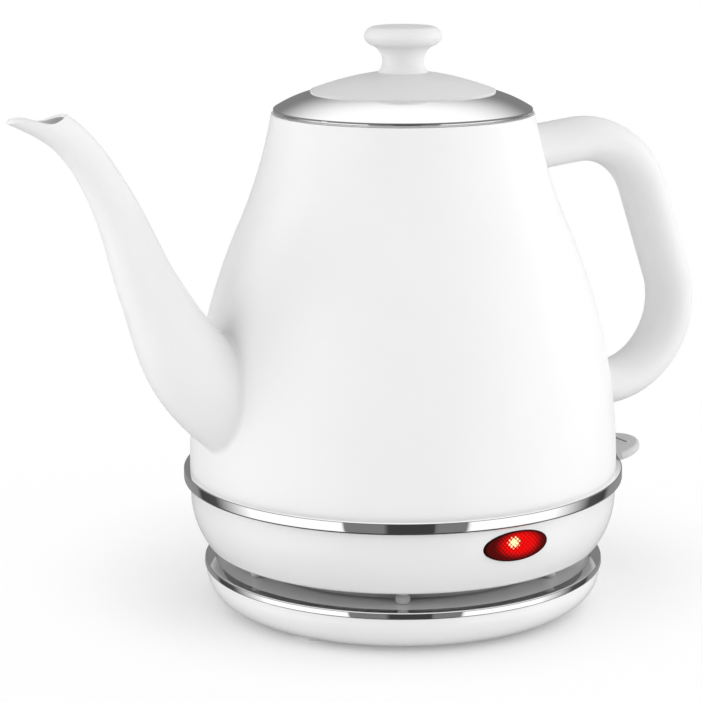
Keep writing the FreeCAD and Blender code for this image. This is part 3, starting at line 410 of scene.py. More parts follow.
def begin(name: str) -> Piece:
    """Names the primitive that was just added, and puts its place into its mesh.

    Args:
        name: the piece's name.

    Returns:
        The piece.
    """
    piece = bpy.context.object
    piece.name = piece.data.name = name
    bpy.ops.object.transform_apply(location=True, rotation=True, scale=True)
    return piece


def turn(name: str, section: Outline, sides: int = 160) -> Piece:
    """Turns a closed half section about the kettle's axis.

    Args:
        name: the piece's name.
        section: (radius, height) corners in order, in millimetres.
        sides: steps of the turn.

    Returns:
        The turned piece.
    """
    deselect()
    radius, height = section[0]
    bpy.ops.mesh.primitive_plane_add(size=MM, location=(radius * MM, 0.0, height * MM))
    piece = begin(name)
    with editing():
        bpy.ops.mesh.merge(type="CENTER")
        for before, after in zip(section, section[1:] + section[:1]):
            step = ((after[0] - before[0]) * MM, 0.0, (after[1] - before[1]) * MM)
            bpy.ops.mesh.extrude_region_move(TRANSFORM_OT_translate={"value": step})
        bpy.ops.mesh.select_all(action="SELECT")
        merge_all()
        bpy.ops.mesh.spin(steps=sides, angle=FULL_TURN, center=(0.0, 0.0, 0.0), axis=(0.0, 0.0, 1.0))
        bpy.ops.mesh.select_all(action="SELECT")
        merge_all()
        bpy.ops.mesh.normals_make_consistent(inside=False)
    return piece


def loft(name: str, rings: list[Ring]) -> Piece:
    """Extrudes a circle through a row of rings.

    Args:
        name: the piece's name.
        rings: rings of equal count, in metres.

    Returns:
        The open tube through the rings, facing outwards.
    """
    deselect()
    bpy.ops.mesh.primitive_circle_add(vertices=len(rings[0]), radius=MM)
    piece = begin(name)
    with editing():
        mesh = bmesh.from_edit_mesh(piece.data)
        place = mesh.verts.layers.int.new("place")
        mesh.verts.ensure_lookup_table()
        for index, vertex in enumerate(mesh.verts):
            vertex[place] = index
            vertex.co = rings[0][index]
        bmesh.update_edit_mesh(piece.data)
        for ring in rings[1:]:
            bpy.ops.mesh.extrude_region_move()
            mesh = bmesh.from_edit_mesh(piece.data)
            place = mesh.verts.layers.int["place"]
            for vertex in mesh.verts:
                if vertex.select:
                    vertex.co = ring[vertex[place]]
            bmesh.update_edit_mesh(piece.data)
        bpy.ops.mesh.select_all(action="SELECT")
        bpy.ops.mesh.normals_make_consistent(inside=False)
        mesh = bmesh.from_edit_mesh(piece.data)
        middle = rings[len(rings) // 2]
        centre = sum(middle, Vector()) / len(middle)
        face = min(mesh.faces, key=lambda one: (one.calc_center_median() - middle[0]).length)
        if face.normal.dot(face.calc_center_median() - centre) < 0:
            bpy.ops.mesh.flip_normals()
    return piece


def apply(piece: Piece, kind: str, **values: object) -> None:
    """Adds a modifier and applies it.

    Args:
        piece: the piece.
        kind: Blender's name of the modifier.
        values: the modifier's settings.
    """
    choose(piece)
    modifier = piece.modifiers.new(kind.lower(), kind)
    for label, value in values.items():
        setattr(modifier, label, value)
    bpy.ops.object.modifier_apply(modifier=modifier.name)


def smooth(piece: Piece, degrees: float = 35.0) -> None:
    """Shades a piece smooth, apart from edges sharper than an angle."""
    choose(piece)
    bpy.ops.object.shade_smooth_by_angle(angle=math.radians(degrees))


def settle(piece: Piece, body: Body, slot: str, *nodes: str) -> Piece:
    """Finishes a piece: material, slot, body and the nodes it stands for.

    Args:
        piece: the modelled piece.
        body: the body that it rides on.
        slot: the record's slot, which also names the finish.
        nodes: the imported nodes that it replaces.

    Returns:
        The piece.
    """
    piece.data.materials.clear()
    piece.data.materials.append(FINISHES[slot].material())
    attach(piece, body.value)
    if nodes:
        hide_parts(*nodes)
    return piece


def arc_middle(start: Point, stop: Point, radius: float) -> Point:
    """The centre of an arc of a half section.

    Args:
        start: its first (radius, height) point.
        stop: its last point.
        radius: its radius, positive where it turns left and negative where it turns right.

    Returns:
        The centre.
    """
    across, up = stop[0] - start[0], stop[1] - start[1]
    chord = math.hypot(across, up)
    reach = math.copysign(math.sqrt(max(radius * radius - chord * chord / 4, 0.0)), radius)
    return (start[0] + stop[0]) / 2 - up / chord * reach, (start[1] + stop[1]) / 2 + across / chord * reach


def arc(start: Point, stop: Point, radius: float, steps: int = 8) -> Outline:
    """Points along an arc of a half section.

    Args:
        start: its first (radius, height) point, in millimetres.
        stop: its last point.
        radius: its radius, positive where it turns left and negative where it turns right.
        steps: how many parts it is cut into.

    Returns:
        The points, both ends included.
    """
    middle = arc_middle(start, stop, radius)
    first = math.atan2(start[1] - middle[1], start[0] - middle[0])
    sweep = math.atan2(stop[1] - middle[1], stop[0] - middle[0]) - first
    sweep %= math.copysign(FULL_TURN, radius)
    angles = [first + sweep * index / steps for index in range(steps + 1)]
    return [(middle[0] + abs(radius) * math.cos(angle), middle[1] + abs(radius) * math.sin(angle))
            for angle in angles]


def spread(piece: Piece, spots: list[Spot]) -> list[Piece]:
    """Copies a piece to each spot and moves the piece itself to the last.

    Args:
        piece: the piece, modelled at the origin.
        spots: shifts in millimetres.

    Returns:
        The pieces, each with its own mesh.
    """
    pieces = []
    for index, spot in enumerate(spots):
        choose(piece)
        if index < len(spots) - 1:
            bpy.ops.object.duplicate(linked=False)
        copy = bpy.context.object
        copy.name = copy.data.name = f"{piece.name.split('.')[0]}_{index + 1}"
        with editing():
            bpy.ops.transform.translate(value=[step * MM for step in spot])
        pieces.append(copy)
    return pieces


def around(circle: float, degrees: tuple[float, ...], height: float) -> list[Spot]:
    """Spots on a circle about the axis."""
    return [(circle * math.cos(math.radians(angle)), circle * math.sin(math.radians(angle)), height)
            for angle in degrees]


def hermite(start: Vector, stop: Vector, leave: Vector, arrive: Vector, share: float) -> Vector:
    """A point on the smooth curve between two points with given end tangents."""
    square, cube = share * share, share ** 3
    return (start * (2 * cube - 3 * square + 1) + leave * (cube - 2 * square + share)
            + stop * (3 * square - 2 * cube) + arrive * (cube - square))


def flatten(way: Vector, normal: Vector) -> Vector:
    """The unit direction of a vector along the plane with this normal."""
    return (way - normal * way.dot(normal)).normalized()


@dataclass
class PaintedBody:
    """The painted wall that the spout grows from. Sizes in millimetres."""

    foot: Point = (72.9, 48.1)
    shoulder: Point = (55.25, 131.0)
    mouth: Point = (43.9, 168.2)
    belly_curve: float = 205.0
    neck_curve: float = 160.0
    probe: float = 0.1
    rounds: int = 4

    def radius(self, height: float) -> float:
        """The outer radius at a height.

        Args:
            height: the height.

        Returns:
            The radius there.
        """
        if height <= self.foot[1]:
            return self.foot[0]
        low, high, bow = self.foot, self.shoulder, self.belly_curve
        if height > self.shoulder[1]:
            low, high, bow = self.shoulder, self.mouth, -self.neck_curve
        middle = arc_middle(low, high, bow)
        return middle[0] + math.copysign(math.sqrt(bow * bow - (height - middle[1]) ** 2), bow)

    def depth(self, point: Vector) -> float:
        """How far a point lies outside the wall."""
        return math.hypot(point.x, point.y) - self.radius(point.z)

    def normal(self, point: Vector) -> Vector:
        """The wall's outward direction next to a point."""
        slope = (self.radius(point.z + self.probe) - self.radius(point.z - self.probe)) / (2 * self.probe)
        return Vector((point.x, point.y, -slope * math.hypot(point.x, point.y))).normalized()

    def onto(self, point: Vector) -> Vector:
        """The nearest point of the wall, near enough.

        Args:
            point: a point near the wall.

        Returns:
            The point on the wall.
        """
        for _ in range(self.rounds):
            normal = self.normal(point)
            point = point - normal * (self.depth(point) * normal.xy.length)
        return point


@dataclass
class Spout:
    """The gooseneck spout, welded and blended into the painted wall. Sizes in millimetres.

    A station is a place along the middle, its height and the tube's radius there. Places between
    stations are station numbers with fractions.
    """

    stations: tuple[Spot, ...] = (
        (-58.0, 72.0, 17.4), (-78.6, 90.0, 14.89), (-92.31, 114.94, 10.3), (-105.62, 147.15, 6.85),
        (-119.1, 166.96, 5.69), (-138.5, 178.37, 5.3), (-157.3, 185.2, 5.3))
    root_slope: float = 30.0
    lip: tuple[Point, ...] = (
        (-146.0, 171.4), (-142.5, 172.3), (-133.9, 173.6), (-126.7, 172.4), (-118.8, 174.8), (-112.0, 176.5))
    sides: int = 72
    root_span: Point = (0.0, 1.6)
    belly_end: float = 2.0
    neck_end: float = 3.0
    lip_end: float = 5.0
    weld_steps: int = 12
    belly_steps: int = 16
    neck_steps: int = 12
    tip_steps: int = 34
    halvings: int = 40
    nudge: float = 0.001
    probe: float = 0.01
    weld_up: float = 1.6
    weld_out: float = 1.1
    skirt: float = 0.6
    skirt_sink: float = 0.05
    wall: float = 1.2
    weld_wall_share: float = 0.01
    wall_body: PaintedBody = field(default_factory=PaintedBody)
    points: list[Vector] = field(init=False)
    knots: list[float] = field(init=False)
    tangents: list[Vector] = field(init=False)

    def __post_init__(self) -> None:
        """Works out how far apart the stations lie and the curve's direction at each."""
        self.points = [Vector(station) for station in self.stations]
        self.knots = [0.0]
        for before, after in zip(self.points, self.points[1:]):
            self.knots.append(self.knots[-1] + (after.xy - before.xy).length)
        last = len(self.points) - 1
        self.tangents = []
        for spot in range(last + 1):
            low, high = max(spot - 1, 0), min(spot + 1, last)
            step = self.points[high] - self.points[low]
            self.tangents.append(step / (self.knots[high] - self.knots[low]))
        start = math.radians(self.root_slope)
        self.tangents[0] = Vector((-math.cos(start), math.sin(start), self.tangents[0].z))

    def along(self, share: float) -> tuple[Vector, Vector, float]:
        """The tube at a place along the spout.

        Args:
            share: station number, with fractions between stations.

        Returns:
            The centre, the unit direction and the radius.
        """
        index = min(max(int(share), 0), len(self.points) - 2)
        span = self.knots[index + 1] - self.knots[index]
        ends = (self.points[index], self.points[index + 1],
                self.tangents[index] * span, self.tangents[index + 1] * span)
        here, near = (hermite(*ends, share - index + step) for step in (0.0, self.nudge))
        way = (near - here).xy.normalized()
        return Vector((here.x, 0.0, here.y)), Vector((way.x, 0.0, way.y)), here.z

    def point(self, share: float, angle: float) -> Vector:
        """A point of the tube's skin, at a place along the spout and an angle round it."""
        centre, way, radius = self.along(share)
        return centre + (Vector((-way.z, 0.0, way.x)) * math.cos(angle)
                         + Vector((0.0, 1.0, 0.0)) * math.sin(angle)) * radius

    def above_lip(self, point: Vector) -> bool:
        """Whether a point lies above the cut lip."""
        return point.z > self.lip_height(point.x)

    def lip_height(self, across: float) -> float:
        """The height of the cut lip.

        Args:
            across: the place along X.

        Returns:
            The lip's height there.
        """
        for before, after in zip(self.lip, self.lip[1:]):
            if before[0] <= across <= after[0]:
                share = (across - before[0]) / (after[0] - before[0])
                share = share * share * (3 - 2 * share)
                return before[1] + (after[1] - before[1]) * share
        return self.lip[0][1] if across < self.lip[0][0] else self.lip[-1][1]

    def search(self, low: float, high: float, outside: Callable[[float], bool]) -> float:
        """Halves a range until it holds the place where a test turns true.

        Args:
            low: a place where the test is false.
            high: a place where it is true.
            outside: the test.

        Returns:
            The place between.
        """
        for _ in range(self.halvings):
            middle = (low + high) / 2
            low, high = (low, middle) if outside(middle) else (middle, high)
        return (low + high) / 2

    def column(self, angle: float) -> Ring:
        """One line of points along the spout, from under the weld to the lip.

        Args:
            angle: the line's place round the tube.

        Returns:
            The points, in millimetres.
        """
        wall = self.wall_body
        root = self.search(*self.root_span, lambda share: wall.depth(self.point(share, angle)) > 0)
        crease = self.point(root, angle)
        length = (self.point(root + 2 * self.probe, angle) - crease).length / (2 * self.probe)
        top = root + self.weld_up / length
        upper = self.point(top, angle)
        rise = (self.point(top + self.probe, angle) - self.point(top - self.probe, angle)).normalized()
        out = flatten(crease - self.along(root)[0], wall.normal(crease))
        lower = wall.onto(crease + out * self.weld_out)
        foot = wall.normal(lower)
        out = flatten(out, foot)
        pull = (upper - lower).length
        points = [wall.onto(lower + out * self.skirt) - foot * self.skirt_sink]
        points += [hermite(lower, upper, -out * pull, rise * pull, step / self.weld_steps)
                   for step in range(self.weld_steps + 1)]
        end = self.search(self.neck_end, self.lip_end, lambda share: self.above_lip(self.point(share, angle)))
        for start, stop, count in ((top, self.belly_end, self.belly_steps),
                                   (self.belly_end, self.neck_end, self.neck_steps),
                                   (self.neck_end, end, self.tip_steps)):
            points += [self.point(start + (stop - start) * step / count, angle)
                       for step in range(1, count + 1)]
        return points

    def rings(self) -> list[Ring]:
        """All rings from under the weld to the lip, in metres."""
        columns = [self.column(FULL_TURN * index / self.sides) for index in range(self.sides)]
        return [[point * MM for point in level] for level in zip(*columns)]

    def build(self) -> list[Piece]:
        """Models the spout's skin and gives it a wall, which is thin under the weld.

        Returns:
            The spout.
        """
        piece = loft("spout_skin", self.rings())
        group = piece.vertex_groups.new(name="wall")
        welded = self.sides * (self.weld_steps + 2)
        group.add(range(welded, len(piece.data.vertices)), 1.0, "REPLACE")
        apply(piece, "SOLIDIFY", thickness=self.wall * MM, offset=-1.0, vertex_group="wall",
              thickness_vertex_group=self.weld_wall_share)
        smooth(piece)
        return [settle(piece, Body.KETTLE, "white_paint", "spout")]


@dataclass
class ChromeRings:
    """The four bright rings, turned finely so that they mirror cleanly. Sizes in millimetres."""

    sides: int = 240
    sharp: float = 40.0
    waist: Point = (43.9, 48.1)
    waist_radii: Point = (72.95, 75.0)
    waist_rounds: Point = (0.9, 0.5)
    trim_inner: float = 65.45
    trim_lip: float = 64.6
    trim_outer: float = 68.4
    trim_draft: float = 0.1
    trim_heights: Spot = (14.0, 15.6, 16.3)
    trim_round: float = 0.45
    rim_inner: float = 41.7
    rim_outer: float = 42.95
    rim_heights: Point = (168.2, 168.7)
    rim_bulge: float = 0.507
    lid_radius: float = 43.2
    lid_edge: float = 1.3
    lid_chamfer: float = 0.3
    lid_inner: float = 41.4
    cap_radius: float = 30.9
    cap_inner: float = 24.9
    cap_seat: float = 175.2
    lid_wall: float = 1.0

    @property
    def waist_section(self) -> Outline:
        """The half section of the band between housing and body."""
        low, high = self.waist
        inner, outer = self.waist_radii
        under, over = self.waist_rounds
        return [(inner, low), *arc((outer - under, low), (outer, low + under), under),
                *arc((outer, high - over), (outer - over, high), over), (inner, high)]

    @property
    def trim_section(self) -> Outline:
        """The half section of the base's band."""
        seat, floor, top = self.trim_heights
        low, soft = self.trim_outer, self.trim_round
        high = low - self.trim_draft
        return [(self.trim_inner, seat), *arc((low - soft, seat), (low, seat + soft), soft),
                *arc((high, top - soft), (high - soft, top), soft),
                (self.trim_lip, top), (self.trim_lip, floor), (self.trim_inner, floor)]

    @property
    def rim_section(self) -> Outline:
        """The half section of the mouth's rim."""
        low, high = self.rim_heights
        bulge = arc((self.rim_outer, low), (self.rim_outer, high), (high - low) * self.rim_bulge, steps=10)
        return [(self.rim_inner, low), *bulge, (self.rim_inner, high)]

    @property
    def lid_section(self) -> Outline:
        """The half section of the lid's cone and edge."""
        low = self.rim_heights[1]
        edge = low + self.lid_edge
        bevel, wall, wide = self.lid_chamfer, self.lid_wall, self.lid_radius
        return [(self.lid_inner, low), *arc((wide - bevel, low), (wide, low + bevel), bevel, steps=5),
                *arc((wide, edge - bevel), (wide - bevel, edge), wall, steps=5)[:-1],
                *arc((wide - bevel, edge), (self.cap_radius, self.cap_seat), wide, steps=12),
                (self.cap_inner, self.cap_seat), (self.cap_inner, self.cap_seat - wall),
                *arc((self.cap_radius, self.cap_seat - wall), (self.lid_inner, edge - wall), -wide, steps=6)]

    def build(self) -> list[Piece]:
        """Turns the rings from their sections.

        Returns:
            The four rings.
        """
        pieces = []
        for name, body, node, section in (
                ("waist_band", Body.KETTLE, "waist_ring", self.waist_section),
                ("trim_band", Body.BASE, "base_trim_ring", self.trim_section),
                ("mouth_band", Body.KETTLE, "mouth_ring", self.rim_section),
                ("lid_band", Body.LID, "lid_ring", self.lid_section)):
            piece = turn(name, section, self.sides)
            smooth(piece, self.sharp)
            pieces.append(settle(piece, body, "bright_chrome", node))
        return pieces


@dataclass
class Indicator:
    """The oval lens over the lamp, with its crosshatched face. Sizes in millimetres.

    An oval is its middle, across and up from the lens's own, and its half width and half height. A
    fade is the span over which a level changes, and the levels at its two ends.
    """

    centre: float = 37.2
    half_width: float = 12.0
    half_height: float = 4.95
    face: float = 73.1
    back: float = 70.35
    edge: tuple[Point, ...] = ((1.0, 0.35), (0.985, 0.14), (0.96, 0.05))
    face_share: float = 0.94
    middle_share: float = 0.004
    middle_reach: float = 0.2
    sharp: float = 60.0
    pitch: float = 1.55
    relief: float = 0.12
    sides: int = 160
    steps: int = 46
    relief_steps: int = 4
    glow: tuple[Point, Point] = ((0.9, 0.6), (8.6, 4.6))
    glow_fade: tuple[Point, Point] = ((0.5, 1.12), (1.0, 0.08))
    edge_fade: tuple[Point, Point] = ((0.87, 0.98), (1.0, 0.02))
    core: tuple[Point, Point] = ((-1.3, 1.3), (2.7, 2.3))
    core_fade: tuple[Point, Point] = ((0.8, 1.12), (1.0, 0.0))
    core_grooves: float = 0.75
    cell_power: float = 0.6
    cell_levels: Point = (0.35, 1.25)
    lit_colour: Spot = (1.0, 0.0, 0.0)
    core_colour: Spot = (1.1, 1.02, 0.55)
    moulding: tuple[float, ...] = (0.02, 0.001, 0.001, 1.0)

    def hatch(self, across: float, up: float) -> float:
        """The height share of the crossed grooves, from 0 in a groove to 1 between grooves."""
        first, second = (math.sin(math.pi * place / self.pitch) for place in (across + up, across - up))
        return abs(first * second)

    def ring(self, share: float, drop: float, grooved: float = 0.0) -> Ring:
        """One oval ring of the lens.

        Args:
            share: its size as a share of the whole oval.
            drop: how far it lies under the face.
            grooved: how deep the grooves run there, as a share of their depth.

        Returns:
            Its points in metres.
        """
        points = []
        for index in range(self.sides):
            angle = FULL_TURN * index / self.sides
            across = self.half_width * share * math.cos(angle)
            up = self.half_height * share * math.sin(angle)
            radius = self.face - drop - self.relief * grooved * (1.0 - self.hatch(across, up))
            points.append(Vector((across, -math.sqrt(radius ** 2 - across ** 2), self.centre + up)) * MM)
        return points

    def build(self) -> list[Piece]:
        """Models the lens from its back edge to the middle of its face.

        Returns:
            The lens.
        """
        rings = [self.ring(1.0, self.face - self.back), *(self.ring(*step) for step in self.edge)]
        for step in range(self.steps):
            share = self.face_share * (1.0 - step / self.steps) + self.middle_share
            rings.append(self.ring(share, 0.0, min(1.0, step / self.relief_steps)))
        piece = loft("lens_window", rings)
        middle = Vector((0.0, -self.face, self.centre)) * MM
        with editing():
            bpy.ops.mesh.select_all(action="DESELECT")
            mesh = bmesh.from_edit_mesh(piece.data)
            for vertex in mesh.verts:
                vertex.select = (vertex.co - middle).length < self.middle_reach * MM
            mesh.select_flush(True)
            bmesh.update_edit_mesh(piece.data)
            bpy.ops.mesh.merge(type="CENTER")
            bpy.ops.mesh.select_all(action="SELECT")
            bpy.ops.mesh.normals_make_consistent(inside=False)
        smooth(piece, self.sharp)
        settle(piece, Body.KETTLE, "red_lens", "indicator_lens")
        piece.data.materials[0] = self.material()
        return [piece]

    @staticmethod
    def reach(net: Net, place: tuple[Socket, Socket], middle: Point, halves: Point) -> Socket:
        """How far out a place lies, as a share of an oval.

        Args:
            net: the tree that gets the nodes.
            place: the sockets across and up.
            middle: the oval's middle.
            halves: its half width and half height.

        Returns:
            The share's socket.
        """
        squares = []
        for socket, start, half in zip(place, middle, halves):
            part = net.math("DIVIDE", net.math("SUBTRACT", socket, start * MM), half * MM)
            squares.append(net.math("MULTIPLY", part, part))
        return net.math("SQRT", net.math("ADD", *squares))

    def material(self) -> Material:
        """Red moulding, lit from behind by the lamp and cut into cells by its grooves.

        Returns:
            The material.
        """
        material, net, shader = fresh("lit_lens")
        spot = net.add("Mapping", {"Vector": net.place(), "Location": (0.0, 0.0, -self.centre * MM)})
        across, _, up = net.split(spot.outputs[0])
        wave = math.pi / (self.pitch * MM)
        grooves = [net.math("SINE", net.math("MULTIPLY", net.math(way, across, up), wave))
                   for way in ("ADD", "SUBTRACT")]
        cells = net.math("POWER", net.math("ABSOLUTE", net.math("MULTIPLY", *grooves)), self.cell_power)
        whole = ((0.0, 0.0), (self.half_width, self.half_height))
        oval, glow, core = (self.reach(net, (across, up), *one) for one in (whole, self.glow, self.core))
        shade = net.math("MULTIPLY", net.between(glow, *self.glow_fade), net.between(oval, *self.edge_fade))
        shade = net.math("MULTIPLY", shade, net.lerp(*self.cell_levels, cells))
        groove = net.math("MULTIPLY", net.math("SUBTRACT", 1.0, cells), self.core_grooves)
        lit = net.between(net.math("ADD", core, groove), *self.core_fade)
        parts = [net.lerp(net.math("MULTIPLY", shade, red), hot, lit)
                 for red, hot in zip(self.lit_colour, self.core_colour)]
        colour = net.add("CombineColor", dict(enumerate(parts)))
        drift = net.group(Effects.drift(), {"Colour": self.moulding, "Drift": 0.2, "Scale": 300.0})
        net.feed(shader, {
            "Base Color": drift["Colour"], "Emission Color": colour.outputs[0], "Emission Strength": 1.0,
            "Coat Weight": 0.0, "Specular IOR Level": 0.05, "Roughness": 0.2})
        return material


@dataclass
class SwitchMark:
    """The line and the dot on the switch's tilted paddle. Sizes in millimetres."""

    tilt: float = 10.0
    line_place: Spot = (90.5, 0.0, 44.29)
    line_size: Spot = (0.6, 9.2, 0.3)
    line_round: float = 0.1
    dot_place: Spot = (90.9, -5.6, 44.36)
    dot_radius: float = 0.5
    dot_rise: float = 0.16
    dot_bow: float = 0.6
    dot_sides: int = 32

    def lean(self, piece: Piece) -> None:
        """Tilts a mark with the paddle."""
        choose(piece)
        with editing():
            bpy.ops.transform.rotate(value=math.radians(self.tilt), orient_axis="Y",
                                     center_override=(0.0, 0.0, 0.0))

    def build(self) -> list[Piece]:
        """Models the line and the dot.

        Returns:
            The two marks.
        """
        deselect()
        bpy.ops.mesh.primitive_cube_add(size=MM, scale=self.line_size)
        line = begin("switch_line")
        apply(line, "BEVEL", width=self.line_round * MM, segments=3)
        wide, rise = self.dot_radius, self.dot_rise
        dot = turn("switch_dot", [(0.0, -rise), (wide, -rise),
                                  *arc((wide, 0.0), (0.0, rise), self.dot_bow, steps=6)], self.dot_sides)
        pieces = []
        for piece, place, slot in ((line, self.line_place, "dark_plastic"),
                                   (dot, self.dot_place, "white_satin")):
            smooth(piece)
            self.lean(piece)
            pieces.append(settle(spread(piece, [place])[0], Body.LEVER, slot))
        line.data.materials[0] = MARK_GREY.material()
        return pieces


@dataclass
class Feet:
    """Rounded feet under the base and under the kettle. Sizes in millimetres.

    The arcs of a kettle foot, each from point to point with its radius, run up its sole, side and neck.
    """

    base_circle: float = 51.0
    base_angles: tuple[float, ...] = (86.0, 206.0, 326.0)
    base_radius: float = 6.0
    base_top: float = 2.6
    base_round: float = 0.35
    base_sides: int = 64
    dish: float = 0.12
    dish_edges: Point = (1.2, 0.8)
    kettle_circle: float = 56.2
    kettle_angles: tuple[float, ...] = (0.0, 60.0, 120.0, 180.0, 240.0, 300.0)
    kettle_floor: float = 15.6
    kettle_top: float = 6.2
    kettle_sides: int = 48
    kettle_flat: float = 0.96
    kettle_arcs: tuple[tuple[Point, Point, float], ...] = (
        ((1.08, 0.0), (2.4, 1.32), 1.32), ((2.4, 1.92), (1.728, 3.12), 1.2),
        ((1.728, 3.6), (2.4, 6.2), -2.88))
    stub_radius: float = 1.2
    stub_top: float = 8.4

    @property
    def base_section(self) -> Outline:
        """The half section of a base foot with its dished sole."""
        wide, top, soft = self.base_radius, self.base_top, self.base_round
        inner, outer = (wide - soft - edge for edge in self.dish_edges)
        return [(0.0, self.dish), (inner, self.dish), (outer, 0.0),
                *arc((wide - soft, 0.0), (wide, soft), soft), (wide, top), (0.0, top)]

    @property
    def kettle_section(self) -> Outline:
        """The half section of a kettle foot with its necked pad and its stub."""
        rounds = [point for one in self.kettle_arcs for point in arc(*one)]
        stub = [(self.stub_radius, self.kettle_top), (self.stub_radius, self.stub_top), (0.0, self.stub_top)]
        return [(0.0, 0.0), (self.kettle_flat, 0.0), *rounds, *stub]

    def build(self) -> list[Piece]:
        """Models one foot of each kind and copies it to its places.

        Returns:
            All feet, those of the base first.
        """
        foot = turn("base_foot", self.base_section, self.base_sides)
        smooth(foot)
        pieces = [settle(copy, Body.BASE, "soft_rubber", "base_feet")
                  for copy in spread(foot, around(self.base_circle, self.base_angles, 0.0))]
        pad = turn("kettle_foot", self.kettle_section, self.kettle_sides)
        smooth(pad)
        for copy in spread(pad, around(self.kettle_circle, self.kettle_angles, self.kettle_floor)):
            pieces.append(settle(copy, Body.KETTLE, "soft_rubber", "kettle_feet"))
            copy.data.materials[0] = PAD_GREY.material()
        return pieces


@dataclass
class Screws:
    """Screws of one kind, with crossed slots in their heads. Sizes in millimetres.

    The head is its radius and height, the shank its radius and length.
    """

    node: str
    body: Body
    head: Point
    shank: Point
    spots: list[Spot]
    head_round: float = 0.35
    slot_width: float = 0.8
    slot_share: float = 1.25
    tip_chamfer: float = 0.4
    sides: int = 48

    def build(self) -> list[Piece]:
        """Models one screw, head down, and copies it to its places.

        Returns:
            The screws.
        """
        wide, tall = self.head
        shank, tip = self.shank[0], self.tip_chamfer
        soft, end = tall * self.head_round, tall + self.shank[1]
        piece = turn(self.node.rstrip("s"), [
            (0.0, 0.0), *arc((wide - soft, 0.0), (wide, soft), soft, steps=5), (wide, tall), (shank, tall),
            (shank, end - tip), (shank - tip, end), (0.0, end)], self.sides)
        length = wide * self.slot_share
        for size in ((self.slot_width, length, tall), (length, self.slot_width, tall)):
            deselect()
            bpy.ops.mesh.primitive_cube_add(size=MM, scale=size)
            tool = begin("slot_tool")
            apply(piece, "BOOLEAN", object=tool, operation="DIFFERENCE", solver="EXACT")
            bpy.data.objects.remove(tool)
        smooth(piece)
        return [settle(copy, self.body, "screw_steel", self.node) for copy in spread(piece, self.spots)]


@dataclass
class LidSeal:
    """The silicone ring round the lid's liner, with two lips. Sizes in millimetres.

    A corner of a lip is its distance in from the reach, and its height over the lip's level.
    """

    inner: float = 40.25
    reach: float = 41.4
    low: float = 162.2
    height: float = 4.0
    web: float = 0.35
    lip_shares: Point = (0.28, 0.72)
    lip_roots: Point = (-0.75, 0.35)
    lip_under: Point = (0.18, -0.3)
    lip_over: Point = (0.3, 0.32)
    tip_inset: float = 0.05
    tip_half: float = 0.16
    tip_round: float = 0.18
    sharp: float = 50.0

    def build(self) -> list[Piece]:
        """Turns the seal from its section.

        Returns:
            The seal.
        """
        web, tip, half = self.inner + self.web, self.reach - self.tip_inset, self.tip_half
        section = [(self.inner, self.low)]
        for share in self.lip_shares:
            level = self.low + self.height * share
            section += [(web, level + self.lip_roots[0]),
                        (self.reach - self.lip_under[0], level + self.lip_under[1]),
                        *arc((tip, level - half), (tip, level + half), self.tip_round, steps=5),
                        (self.reach - self.lip_over[0], level + self.lip_over[1]),
                        (web, level + self.lip_roots[1])]
        section.append((self.inner, self.low + self.height))
        piece = turn("seal_lips", section)
        smooth(piece, self.sharp)
        return [settle(piece, Body.LID, "clear_silicone", "lid_seal")]


